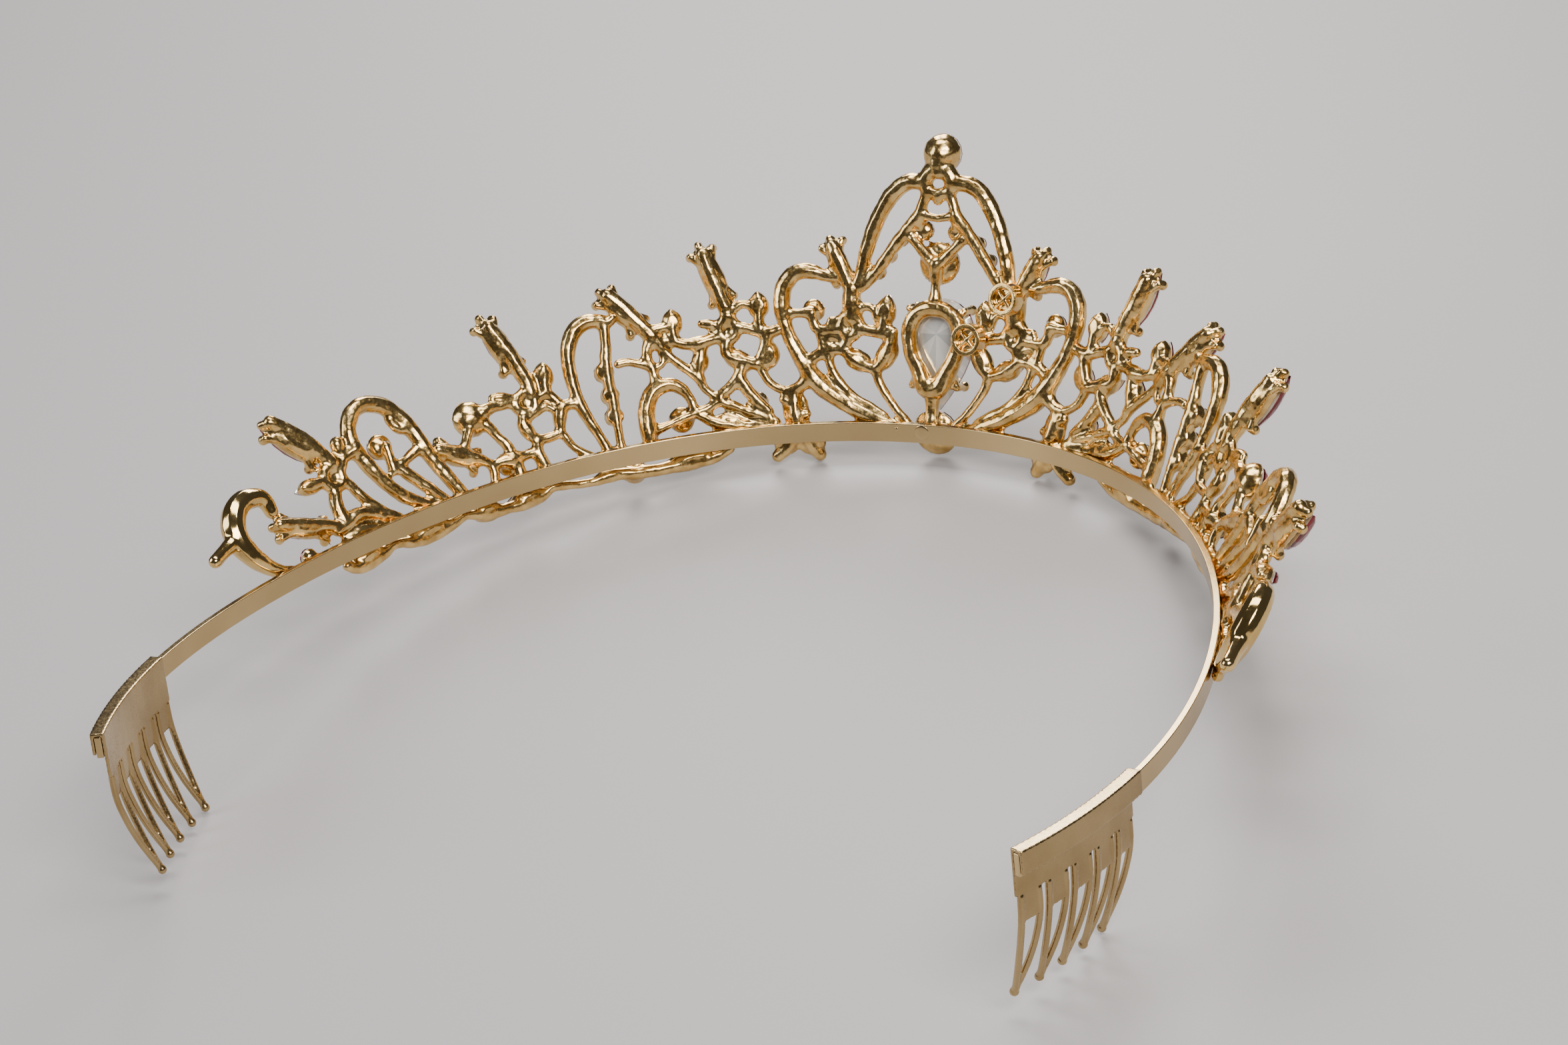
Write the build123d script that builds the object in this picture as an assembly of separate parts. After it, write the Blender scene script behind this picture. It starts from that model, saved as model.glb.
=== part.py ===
# A tiara: a springy headband strip with two hair combs, and cast scrollwork panels set with stones.
# Everything is laid out flat first: s runs along the band from its front centre, h is the height above
# the band's lower edge, and d is the distance out from the band's inner face. place() wraps that flat
# drawing round the band. The tiara is then tilted to stand on its front leaves and its combs.
# +Z is up, the front faces -Y, and the wearer's head goes in from below.
from build123d import *
from math import cos, pi, radians, sin
import os

# Driving dimensions, in millimetres and degrees.
front_radius = 72.0          # band radius at its front centre
radius_terms = (-6.36, 3.35, -0.275)   # how the plan radius changes with the 2nd, 4th and 6th power of phi
strip_height = 3.2
strip_thick = 1.0
strip_half_length = 172.0
comb_width = 25.5
comb_plate_thick = 0.55
comb_plate_drop = 5.0        # how far the comb's plate reaches below the strip
comb_gap = 0.04              # clearance between the folded plate and the strip
tine_count = 5
tine_length = 14.3
tine_bow = 4.4               # how far the tine tips curve in towards the head
wire_radius = 0.46
wall_base = 1.9              # how far out the scrollwork stands at the strip
lean_front = 0.29            # outward lean of the scrollwork at the centre, mm per mm of height
lean_side = 0.58             # the same at the sides
lean_full_phi = 0.9          # plan angle where the side lean is reached
rail_height = 1.7
rail_radius = 0.72
bar_swell = 1.04             # corner radius of an eight-sided bar over its nominal radius
seat_low, seat_high = 0.35, 1.45   # a stone's seat, measured out from the scrollwork's mid surface
prong_radius = 0.5
clear = 0.06                 # gap between a stone and its prongs, and between two castings


def plan_radius(phi):
    a, b, c = radius_terms
    return front_radius + a * phi**2 + b * phi**4 + c * phi**6


def plan_point(phi):
    r = plan_radius(phi)
    return Vector(r * sin(phi), -r * cos(phi), 0)


# Length along the band against plan angle, by small steps.
step = 0.002
arc_table = [(0.0, 0.0)]
while arc_table[-1][0] < 175:
    s, phi = arc_table[-1]
    arc_table.append((s + (plan_point(phi + step) - plan_point(phi)).length, phi + step))


def phi_at(s):
    side = -1 if s < 0 else 1
    low, high = 0, len(arc_table) - 1
    while high - low > 1:
        mid = (low + high) // 2
        if arc_table[mid][0] <= abs(s):
            low = mid
        else:
            high = mid
    (s0, p0), (s1, p1) = arc_table[low], arc_table[high]
    return side * (p0 + (p1 - p0) * (abs(s) - s0) / (s1 - s0))


def along(s):
    """Unit vector along the band at s."""
    phi = phi_at(s)
    return (plan_point(phi + 1e-4) - plan_point(phi - 1e-4)).normalized()


def outward(s):
    t = along(s)
    return Vector(t.Y, -t.X, 0)


def lean(s):
    share = min(abs(phi_at(s)) / lean_full_phi, 1) ** 1.3
    return lean_front + (lean_side - lean_front) * share


def place(s, h, d=None, radius=0.0):
    """A point of the flat drawing on the tiara. Without d it lies on the scrollwork's mid surface."""
    if d is None:
        d = wall_base + max(h - 2, 0) * lean(s)
        if h - radius < strip_height + 0.3:
            d = max(d, strip_thick + clear + bar_swell * radius)
    return plan_point(phi_at(s)) + outward(s) * d + Vector(0, 0, h)


def facing(s, h):
    """The unit vector that faces out of the scrollwork at (s, h)."""
    up = outward(s) * (lean(s) if h > 2 else 0) + Vector(0, 0, 1)
    return along(s).cross(up).normalized()


def ball(point, radius):
    return Pos(point.X, point.Y, point.Z) * Sphere(radius)


def taper(a, b, ra, rb):
    """An eight-sided tapered bar whose ends reach a little past a and b."""
    axis = (b - a).normalized()
    start, end = a - axis * (0.35 * ra), b + axis * (0.35 * rb)
    base = Plane(origin=start, z_dir=axis)
    rings = []
    for centre, radius in ((start, ra), (end, rb)):
        across = [base.x_dir * cos(pi * k / 4) + base.y_dir * sin(pi * k / 4) for k in range(8)]
        rings.append([centre + spoke * (radius * bar_swell) for spoke in across])
    low, high = rings
    faces = [Face(Wire.make_polygon(ring)) for ring in rings]
    for k in range(8):
        n = (k + 1) % 8
        faces.append(Face(Wire.make_polygon([low[k], low[n], high[n], high[k]])))
    return Solid(Shell(faces))


def limb(*points):
    """A cast limb through (s, h, radius) points."""
    spots = [place(s, h, radius=r) for s, h, r in points]
    radii = [r for s, h, r in points]
    return [taper(spots[i], spots[i + 1], radii[i], radii[i + 1]) for i in range(len(spots) - 1)]


def rail(s0, s1):
    """The straight foot of a panel, soldered along the strip."""
    count = max(1, round((s1 - s0) / 6))
    return limb(*[(s0 + (s1 - s0) * i / count, rail_height, rail_radius) for i in range(count + 1)])


def cast(limbs, extras=()):
    """Joins limbs, seats and rails into one solid casting."""
    solids = [solid for group in limbs for solid in group] + list(extras)
    return solids[0].fuse(*solids[1:])


# Seats and stones. A long seat runs between two (s, h) points; a round one sits at one point.
def long_plane(s0, h0, s1, h1):
    a, b = place(s0, h0), place(s1, h1)
    x_dir = (b - a).normalized()
    out = facing((s0 + s1) / 2, (h0 + h1) / 2)
    return Plane(origin=(a + b) * 0.5, x_dir=x_dir, z_dir=out - x_dir * out.dot(x_dir)), (b - a).length


def round_plane(s, h):
    return Plane(origin=place(s, h), x_dir=along(s), z_dir=facing(s, h))


def navette(length, width):
    """A pointed oval: two arcs that meet at both tips."""
    upper = ThreePointArc((-length / 2, 0), (0, width / 2), (length / 2, 0))
    lower = ThreePointArc((length / 2, 0), (0, -width / 2), (-length / 2, 0))
    return make_face([upper, lower])


def pear(radius, tip):
    """A teardrop: a round head at the origin and a tip straight below it."""
    side = radians(14)
    right = (radius * cos(side), -radius * sin(side))
    left = (-right[0], right[1])
    bulge = (0.60 * radius, -0.62 * tip)
    head = ThreePointArc(left, (0, radius), right)
    edge_right = ThreePointArc(right, bulge, (0, -tip))
    edge_left = ThreePointArc((0, -tip), (-bulge[0], bulge[1]), left)
    return make_face([head, edge_right, edge_left])


def slab(plane, outline, low, high):
    return extrude(plane.offset(low) * outline, high - low, dir=plane.z_dir)


def gem(plane, outline, low, pavilion, girdle, crown, culet=0.7, table=0.6):
    """A cut stone standing on low: a pavilion, a straight girdle and a crown."""
    z1 = low + pavilion
    z2 = z1 + girdle
    back = loft([plane.offset(low) * scale(outline, culet), plane.offset(z1) * outline])
    front = loft([plane.offset(z2) * outline, plane.offset(z2 + crown) * scale(outline, table)])
    return back.fuse(slab(plane, outline, z1, z2), front)


def claw_pair(plane, x, y, top):
    """Two straight claws at (x, y) and (x, -y), joined by a bar under the stone."""
    near = plane.from_local_coords(Vector(x, -y, 0.75))
    far = plane.from_local_coords(Vector(x, y, 0.75))
    solids = [taper(near, far, 0.38, 0.38)]
    for side in (-1, 1):
        foot = plane.from_local_coords(Vector(x, side * y, 0.5))
        tip = plane.from_local_coords(Vector(x, side * y, top))
        solids.append(taper(foot, tip, prong_radius, prong_radius))
    return solids


def stick(s0, h0, s1, h1, width=3.0):
    """A long marquise stone on its seat, held by four claws near its tips."""
    plane, length = long_plane(s0, h0, s1, h1)
    metal = [slab(plane, navette(length * 0.96, width * 0.98), seat_low, seat_high)]
    y = (1 - 0.62**2) * width / 2 + prong_radius * bar_swell + 2 * clear
    for side in (-1, 1):
        metal += claw_pair(plane, side * 0.31 * length, y, 2.2)
    return metal, gem(plane, navette(length, width), seat_high, 0.5, 0.35, 0.75)


def leaf(s0, h0, s1, h1, width=2.3):
    """A small marquise stone on its seat."""
    plane, length = long_plane(s0, h0, s1, h1)
    metal = [slab(plane, navette(length * 0.98, width * 0.98), -0.25, seat_high)]
    return metal, gem(plane, navette(length, width), seat_high, 0.3, 0.25, 0.5)


def cup(s, h, radius):
    """A round stone on its cup."""
    plane = round_plane(s, h)
    metal = [slab(plane, Circle(radius * 0.94), -0.2, seat_high)]
    return metal, gem(plane, Circle(radius), seat_high, 0.25 * radius, 0.3, 0.3 * radius, 0.8)


def domed_cup(s, h, radius):
    """A deep half-ball cup with a round stone across its mouth."""
    plane = round_plane(s, h)
    mouth = plane.from_local_coords(Vector(0, 0, seat_high))
    room = slab(plane, Rectangle(4 * radius, 4 * radius), seat_high - 2 * radius, seat_high)
    metal = [ball(mouth, radius) & room]
    return metal, gem(plane, Circle(radius * 0.94), seat_high, 0.3, 0.3, 0.35 * radius, 0.9)


# The scrollwork of the +X side, one panel after another, as limbs of (s, h, radius) points and as seats.
# The -X side is its mirror image.
crest_limbs = [
    limb((0.0, 41.3, 1.2), (1.8, 40.2, 1.1), (1.8, 38.9, 0.9), (0.0, 37.9, 0.7)),
    limb((1.8, 39.8, 1.1), (4.7, 39.3, 1.15), (6.8, 37.4, 1.15), (9.7, 31.0, 1.05), (11.5, 24.4, 0.9),
         (12.2, 22.8, 1.0)),
    limb((1.6, 38.4, 0.75), (2.6, 34.8, 0.75)),
    limb((0.0, 34.1, 0.4), (2.6, 34.6, 0.5)),
    limb((2.6, 34.7, 0.8), (6.2, 29.7, 0.85), (10.0, 24.3, 0.8), (12.2, 22.8, 0.9)),
    limb((3.6, 31.0, 0.65), (1.8, 28.7, 0.65), (0.0, 27.2, 0.75)),
]
crest_spine = [
    limb((0.0, 43.4, 1.1), (0.0, 41.4, 1.3)),
    limb((0.0, 27.2, 0.75), (0.0, 24.5, 0.6), (0.0, 20.9, 0.8)),
    limb((0.0, 7.2, 0.85), (0.0, 4.6, 0.85), (0.0, 1.7, 0.8)),
    rail(-2.6, 2.6),
]
crest_seats = {
    "lobe": cup(2.4, 32.1, 1.5),
    "limb_a": cup(5.6, 30.5, 1.05),
    "limb_b": cup(7.3, 28.0, 1.1),
    "limb_c": cup(9.0, 25.5, 1.2),
}

inner_limbs = [
    limb((13.0, 22.6, 1.2), (12.7, 20.5, 1.3), (13.1, 19.2, 0.9)),
    limb((13.2, 23.0, 1.1), (15.3, 29.4, 0.9)),
    limb((13.1, 19.2, 0.9), (11.9, 18.0, 0.8), (12.2, 16.2, 0.8), (13.6, 15.8, 0.8), (14.2, 17.6, 0.8),
         (13.1, 19.2, 0.9)),
    limb((12.2, 16.8, 0.8), (8.0, 16.2, 0.7), (6.6, 16.2, 0.8)),
    limb((8.0, 16.4, 0.7), (7.6, 19.6, 0.8)),
    limb((8.7, 18.6, 0.4), (9.5, 19.8, 0.4), (10.7, 20.1, 0.4), (12.2, 19.2, 0.5)),
    limb((14.0, 16.9, 0.7), (17.6, 16.7, 0.7), (18.6, 19.4, 0.8), (22.6, 19.3, 0.6)),
    limb((6.6, 16.2, 0.8), (7.0, 14.2, 0.8), (9.2, 10.7, 0.7), (12.4, 11.8, 0.85), (14.2, 13.6, 0.8)),
    limb((13.6, 15.8, 0.8), (14.2, 13.6, 0.7), (17.0, 13.3, 0.7), (19.8, 11.7, 0.9)),
    limb((17.6, 16.7, 0.6), (17.2, 13.3, 0.5)),
    limb((9.2, 10.7, 0.6), (8.7, 8.9, 0.5), (7.0, 6.0, 0.5), (4.3, 2.4, 0.6)),
    limb((16.6, 13.0, 0.6), (15.9, 10.6, 0.5), (13.8, 7.5, 0.5), (8.4, 3.2, 0.6)),
    limb((14.6, 24.7, 0.6), (18.2, 25.5, 1.0), (20.4, 25.5, 1.15), (22.1, 23.9, 1.2), (22.8, 21.0, 1.15),
         (22.3, 16.6, 1.0), (20.4, 12.1, 1.15), (18.6, 9.3, 1.3), (14.0, 5.5, 1.2), (9.4, 3.2, 0.9),
         (6.0, 2.1, 0.7)),
    limb((19.4, 9.4, 1.0), (21.7, 7.8, 0.75), (22.0, 5.4, 0.9), (21.4, 2.4, 0.9)),
    limb((22.0, 5.4, 0.8), (23.4, 6.4, 0.75)),
    limb((21.4, 2.4, 0.9), (19.6, -0.4, 0.9), (18.7, -2.8, 1.0)),
    limb((21.4, 2.4, 0.9), (22.9, -0.6, 0.85), (25.0, -2.8, 0.8)),
    rail(3.4, 24.4),
]
inner_seats = {
    "stick": stick(13.4, 23.4, 15.8, 30.4, 2.5),
    "leaf_a": leaf(8.1, 16.9, 7.4, 22.0),
    "leaf_b": leaf(6.3, 15.4, 9.0, 10.3),
    "leaf_c": leaf(9.8, 10.7, 14.2, 13.2),
    "leaf_d": leaf(20.6, 1.6, 18.6, -3.8, 3.0),
    "cup": cup(18.5, 19.6, 1.7),
}

vine_limbs = [
    limb((23.9, 16.9, 0.85), (26.2, 16.8, 0.8), (29.8, 17.8, 0.8)),
    limb((26.2, 16.8, 0.8), (26.3, 20.6, 0.8)),
    limb((27.0, 20.4, 0.45), (28.7, 21.1, 0.45), (30.2, 20.4, 0.7)),
    limb((30.6, 19.8, 1.1), (31.6, 23.2, 1.15), (33.1, 29.2, 1.0)),
    limb((30.8, 19.6, 1.1), (29.8, 17.8, 0.8), (30.9, 16.1, 0.8), (32.0, 17.6, 0.8), (30.8, 19.6, 1.1)),
    limb((32.0, 17.9, 0.6), (34.5, 18.7, 0.6)),
    limb((31.6, 16.6, 0.75), (35.3, 15.9, 0.95), (38.8, 16.6, 0.8), (38.7, 19.6, 0.7)),
    limb((38.7, 18.9, 0.5), (42.2, 18.6, 0.9)),
    limb((38.8, 16.6, 0.6), (41.8, 17.6, 0.8)),
    limb((42.2, 18.0, 1.1), (44.4, 21.5, 1.15), (46.9, 24.7, 1.0)),
    limb((42.0, 17.8, 0.9), (39.6, 14.3, 0.6), (36.0, 10.8, 0.65), (33.1, 7.4, 0.65)),
    limb((35.0, 15.8, 0.7), (35.4, 13.4, 0.8), (36.0, 10.8, 0.7)),
    limb((42.2, 17.6, 0.8), (43.0, 14.6, 0.65), (42.4, 10.6, 0.8)),
    limb((37.4, 6.2, 0.55), (38.0, 8.4, 0.65), (39.6, 10.1, 0.9), (42.4, 10.2, 1.1), (44.3, 8.0, 1.15),
         (45.0, 4.6, 1.1), (45.0, 2.0, 0.8)),
    limb((42.8, 13.6, 0.55), (45.4, 14.5, 0.5), (47.2, 14.6, 0.5)),
    limb((36.6, 5.6, 0.5), (40.4, 5.0, 0.5), (44.6, 3.8, 0.6)),
    limb((25.4, 16.4, 0.8), (26.8, 11.8, 0.8), (31.4, 13.8, 0.8), (31.2, 16.2, 0.8)),
    limb((26.8, 11.8, 0.6), (25.4, 9.0, 0.5), (23.4, 7.8, 0.5)),
    limb((29.4, 12.6, 0.8), (30.4, 10.0, 0.8), (33.1, 7.4, 0.7), (29.0, 4.9, 0.6), (25.6, 3.2, 0.8)),
    limb((30.2, 10.2, 0.8), (28.4, 7.4, 0.85), (26.0, 4.4, 0.8)),
    limb((33.1, 7.4, 0.6), (37.0, 5.8, 0.6)),
    limb((25.6, 3.0, 0.8), (32.0, 3.2, 0.8), (36.6, 5.2, 0.6)),
    rail(25.8, 46.0),
]
vine_seats = {
    "stick_a": stick(30.8, 21.0, 33.6, 30.4),
    "stick_b": stick(42.8, 18.8, 47.7, 25.4),
    "leaf_a": leaf(26.3, 18.4, 26.2, 22.9),
    "leaf_b": leaf(38.8, 17.2, 38.5, 21.5),
    "leaf_c": leaf(24.4, 15.0, 26.3, 10.9),
    "leaf_d": leaf(27.6, 11.4, 32.0, 14.2),
    "leaf_e": leaf(34.9, 15.0, 36.1, 11.2, 2.0),
    "leaf_f": leaf(28.6, 2.6, 35.0, 4.4, 2.2),
    "cup_a": cup(39.4, 5.0, 1.9),
    "cup_b": cup(27.4, 6.3, 1.4),
}

hook_limbs = [
    limb((47.0, 21.2, 0.8), (48.8, 21.2, 0.95), (50.6, 21.3, 1.1), (52.6, 20.3, 1.15), (54.0, 18.0, 1.1),
         (54.6, 14.0, 0.9), (54.4, 10.0, 0.85), (52.9, 5.4, 0.65), (51.8, 2.2, 0.7)),
    limb((48.2, 20.9, 0.8), (49.0, 15.6, 0.8), (49.4, 9.0, 0.75), (49.7, 2.2, 0.55)),
    limb((54.6, 10.1, 0.75), (57.0, 10.0, 0.95), (58.4, 6.8, 0.65)),
    limb((57.0, 10.0, 0.7), (58.9, 12.7, 0.75), (58.3, 15.8, 0.9)),
    limb((58.9, 12.7, 0.7), (61.0, 12.4, 0.8)),
    limb((61.5, 15.6, 1.1), (62.3, 18.6, 1.1), (63.9, 23.6, 0.95)),
    limb((61.5, 15.6, 1.1), (61.0, 12.4, 0.8), (62.2, 10.6, 0.7), (63.8, 12.0, 0.75), (61.5, 15.0, 0.7)),
    limb((58.4, 6.8, 0.6), (62.4, 6.6, 0.65), (63.6, 8.8, 0.95), (62.2, 10.6, 0.7)),
    limb((58.4, 6.8, 0.55), (57.0, 4.3, 0.5), (54.8, 2.2, 0.55)),
    limb((62.4, 6.6, 0.65), (62.6, 2.3, 0.8)),
    limb((63.8, 12.2, 0.7), (67.6, 12.4, 0.75), (70.0, 12.1, 1.0)),
    limb((64.2, 12.8, 0.5), (67.0, 13.7, 0.5)),
    limb((69.4, 10.6, 0.8), (67.2, 6.2, 0.75), (67.2, 4.2, 1.0)),
    limb((62.6, 4.8, 0.6), (67.2, 4.6, 1.0), (70.8, 4.7, 0.65), (71.2, 2.2, 0.6)),
    limb((72.2, 10.6, 0.7), (74.6, 7.5, 0.7), (70.9, 4.8, 0.7)),
    limb((71.6, 5.3, 0.8), (75.2, 7.5, 0.9), (78.6, 9.4, 0.8)),
    rail(48.0, 75.0),
]
hook_seats = {
    "stick_a": stick(61.8, 16.2, 64.5, 25.0),
    "stick_b": stick(71.8, 5.6, 78.8, 9.6, 2.6),
    "leaf": leaf(58.8, 12.8, 58.1, 17.0),
    "bead_a": cup(49.5, 13.7, 1.5),
    "bead_b": cup(49.4, 10.3, 1.4),
    "bead_c": cup(49.5, 7.2, 1.4),
    "cup": cup(67.4, 4.4, 1.9),
    "ball": domed_cup(71.0, 11.9, 2.7),
}

loop_limbs = [
    limb((77.2, 1.9, 0.75), (79.6, 8.0, 1.0), (80.8, 12.2, 1.05), (82.2, 15.4, 1.15), (84.8, 17.9, 1.15),
         (87.8, 18.5, 1.15), (90.2, 17.0, 1.15), (91.2, 14.2, 1.1), (90.0, 9.8, 1.0), (87.4, 5.2, 0.9)),
    limb((80.2, 10.0, 0.8), (84.0, 9.4, 0.6), (86.4, 8.6, 0.7)),
    limb((80.6, 2.0, 0.75), (84.4, 7.2, 0.8), (86.4, 8.6, 0.7), (86.4, 11.8, 0.8)),
    limb((82.6, 2.0, 0.7), (87.4, 5.2, 0.8)),
    limb((91.2, 13.4, 1.2), (95.4, 11.4, 0.8)),
    limb((93.4, 12.6, 0.6), (93.7, 14.9, 0.9)),
    limb((95.2, 10.4, 0.7), (93.0, 5.9, 0.7), (89.0, 2.2, 0.7)),
    limb((96.0, 12.6, 1.05), (98.4, 16.4, 1.15), (102.3, 20.9, 0.95)),
    limb((96.4, 12.6, 0.8), (95.2, 10.8, 0.75), (97.0, 9.4, 0.75), (98.2, 11.2, 0.75), (96.4, 12.6, 0.8)),
    limb((98.2, 11.0, 0.6), (102.4, 11.2, 0.6)),
    limb((97.4, 9.4, 0.8), (98.5, 6.8, 0.9), (98.6, 4.2, 0.9)),
    limb((91.4, 3.2, 0.7), (95.0, 4.8, 0.9), (98.6, 4.2, 0.9), (101.0, 4.6, 0.8), (105.0, 6.6, 0.95),
         (109.2, 8.1, 0.8)),
    rail(77.0, 102.0),
]
loop_seats = {
    "stick_a": stick(96.8, 13.4, 103.0, 21.2),
    "stick_b": stick(100.6, 4.6, 109.8, 8.3, 2.6),
    "leaf": leaf(98.8, 10.9, 102.9, 11.2, 1.8),
    "cup_a": cup(86.4, 12.4, 1.9),
    "cup_b": cup(95.6, 4.6, 1.6),
}

end_limbs = [
    limb((110.2, 10.2, 1.0), (110.4, 12.2, 1.25), (112.2, 13.2, 1.4), (114.6, 12.9, 1.6), (116.6, 11.2, 1.7),
         (117.2, 8.8, 1.65), (116.2, 5.8, 1.35), (113.8, 3.2, 0.95), (111.0, 1.9, 0.75)),
    limb((117.2, 8.9, 1.3), (120.4, 8.5, 0.9), (123.3, 8.0, 0.85)),
    rail(104.0, 114.0),
]
end_seats = {"stone": cup(106.4, 2.0, 1.3)}

border_limbs = [
    limb((32.6, -0.4, 0.62), (38.0, -1.9, 0.88), (44.3, -2.1, 0.86), (50.5, -1.6, 0.8), (53.6, -1.45, 0.84),
         (57.4, -1.7, 0.63), (61.2, -0.9, 0.65), (66.2, -2.3, 0.87), (71.9, -2.1, 0.77), (77.2, -0.9, 0.66),
         (84.2, -2.3, 0.88), (90.8, -0.9, 0.67), (96.2, -2.4, 0.92), (100.4, -1.3, 0.66)),
]
border_seats = {
    "leaf_a": leaf(34.0, -1.1, 43.6, -2.4, 2.4),
    "leaf_b": leaf(62.4, -1.6, 69.4, -2.5, 2.4),
    "leaf_c": leaf(70.2, -2.5, 76.4, -1.4, 2.4),
    "leaf_d": leaf(79.0, -1.8, 89.0, -1.8, 2.4),
    "leaf_e": leaf(92.4, -1.7, 99.6, -2.0, 2.6),
    "cup": cup(47.8, -2.4, 1.9),
}


def stones(seats, *kinds):
    return [stone for name, (metal, stone) in seats.items() if name.startswith(kinds)]


def metal(seats):
    return [solid for seat, stone in seats.values() for solid in seat]


def other_side(shape):
    return mirror(shape, about=Plane.YZ)


def band_outline(d0, d1, s0, s1, count):
    """The flat face between two offsets of the band's plan curve."""
    marks = [s0 + (s1 - s0) * i / count for i in range(count + 1)]
    inner = [plan_point(phi_at(s)) + outward(s) * d0 for s in marks]
    outer = [plan_point(phi_at(s)) + outward(s) * d1 for s in marks]
    edges = [Spline(inner), Line(inner[-1], outer[-1]), Spline(outer[::-1]), Line(outer[0], inner[0])]
    return make_face(edges)


def headband():
    flat = band_outline(0, strip_thick, -strip_half_length, strip_half_length, 48)
    return extrude(flat, strip_height, dir=(0, 0, 1))


def comb():
    """A stamped comb: a plate folded over the strip's end, and hairpin tines that curve in."""
    end = strip_half_length
    start = end - comb_width
    plate_in = -comb_gap - comb_plate_thick
    fold_low, fold_high = strip_height + comb_gap, strip_height + comb_gap + comb_plate_thick
    flap_out = strip_thick + comb_gap + comb_plate_thick
    plate = extrude(Pos(0, 0, -comb_plate_drop) * band_outline(plate_in, -comb_gap, start, end, 6),
                    comb_plate_drop + fold_high, dir=(0, 0, 1))
    fold = extrude(Pos(0, 0, fold_low) * band_outline(plate_in, flap_out, start, end, 6),
                   comb_plate_thick, dir=(0, 0, 1))
    flap = extrude(Pos(0, 0, 0.4) * band_outline(strip_thick + comb_gap, flap_out, start, end, 6),
                   fold_high - 0.4, dir=(0, 0, 1))
    solids = [plate, fold, flap]
    pitch = comb_width / tine_count
    mid = plate_in / 2 - comb_gap / 2
    for i in range(tine_count):
        centre = start + pitch * (i + 0.5)
        for side in (-1, 1):
            spots = []
            for share, spread in ((-0.06, 1.75), (0.25, 1.7), (0.5, 1.35), (0.75, 0.75), (0.9, 0.3)):
                h = -comb_plate_drop - tine_length * share
                spots.append(place(centre + side * spread, h, mid - tine_bow * max(share, 0) ** 1.6))
            solids += [taper(spots[k], spots[k + 1], wire_radius, wire_radius) for k in range(4)]
        tip = place(centre, -comb_plate_drop - tine_length, mid - tine_bow)
        root = place(centre, -comb_plate_drop - 0.85 * tine_length, mid - tine_bow * 0.85**1.6)
        solids += [taper(root, tip, wire_radius * 1.15, wire_radius * 1.15), ball(tip, wire_radius * 1.5)]
    return solids[0].fuse(*solids[1:])


# The crest and what it holds.
pear_plane = round_plane(0, 16.4)
pear_radius, pear_tip = 5.6, 12.4
pear_stone_low, pear_girdle = 0.75, 3.0


def pear_setting():
    """An open-backed teardrop frame with four long claws."""
    outline = pear(pear_radius * 0.87, pear_tip * 0.84)
    window = pear(pear_radius * 0.51, pear_tip * 0.61)
    ring = slab(pear_plane, outline, -0.5, 0.7) - slab(pear_plane, window, -1, 1)
    solids = [ring]
    for x, y in ((4.35, 3.9), (3.6, -8.3)):
        for side in (-1, 1):
            heel = pear_plane.from_local_coords(Vector(side * x * 0.72, y * 0.85, 0.1))
            knee = pear_plane.from_local_coords(Vector(side * (x + 0.35), y * 1.03, 1.4))
            tip = pear_plane.from_local_coords(Vector(side * (x + 0.35), y * 1.03, pear_girdle + 0.9))
            solids += [taper(heel, knee, 0.52, 0.5), taper(knee, tip, 0.5, 0.46)]
    return solids[0].fuse(*solids[1:])


def pear_stone():
    outline = pear(pear_radius, pear_tip)
    return gem(pear_plane, outline, pear_stone_low, pear_girdle - pear_stone_low, 0.6, 1.6, 0.52, 0.6)


def rivet(s, h, radius=2.6, length=2.4):
    """A short tube rivet standing on the back of the scrollwork, with a peened cross in its mouth."""
    plane = round_plane(s, h)
    base = -1.4
    tube = slab(plane, Circle(radius), base - length, base) - slab(plane, Circle(0.74 * radius), -9, base - 0.8)
    bars = [slab(plane, Rectangle(1.6 * radius, 0.6), base - 1.4, base - 0.7),
            slab(plane, Rectangle(0.6, 1.6 * radius), base - 1.4, base - 0.7)]
    return tube.fuse(*bars)


def solder_spot(s, h, radius):
    plane = Plane(origin=place(s, h, -0.02), x_dir=along(s), z_dir=outward(s) * -1)
    return plane * Pos(0, 0, 0.15) * Cylinder(radius, 0.3)


top_metal, top_stone = domed_cup(0, 44.0, 3.3)
heart_metal, heart_stone = cup(0, 27.2, 3.1)
flat_cup, drop_stone = cup(0, 0.7, 3.4)
drop_metal = [slab(round_plane(0, 0.7), Circle(2.8), -0.8, seat_high)]

crest_side = cast(crest_limbs, metal(crest_seats))
crest = crest_side.fuse(other_side(crest_side), *[s for group in crest_spine for s in group],
                        *top_metal, *heart_metal, *drop_metal)
setting = pear_setting()

pieces = {"headband_strip": headband(), "crest_casting": crest - setting, "teardrop_setting": setting,
          "teardrop_stone": pear_stone(), "crest_top_stone": top_stone, "heart_stone": heart_stone,
          "drop_stone": drop_stone}
crest_small = stones(crest_seats, "lobe", "limb")
pieces["crest_beads"] = Compound(crest_small + [other_side(stone) for stone in crest_small])
pieces["tube_rivets"] = Compound([rivet(-6.6, 16.2), rivet(-12.2, 22.8)])
pieces["solder_spots"] = Compound([solder_spot(0.9, 1.6, 1.1), solder_spot(5.2, 2.2, 0.4)])

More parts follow.
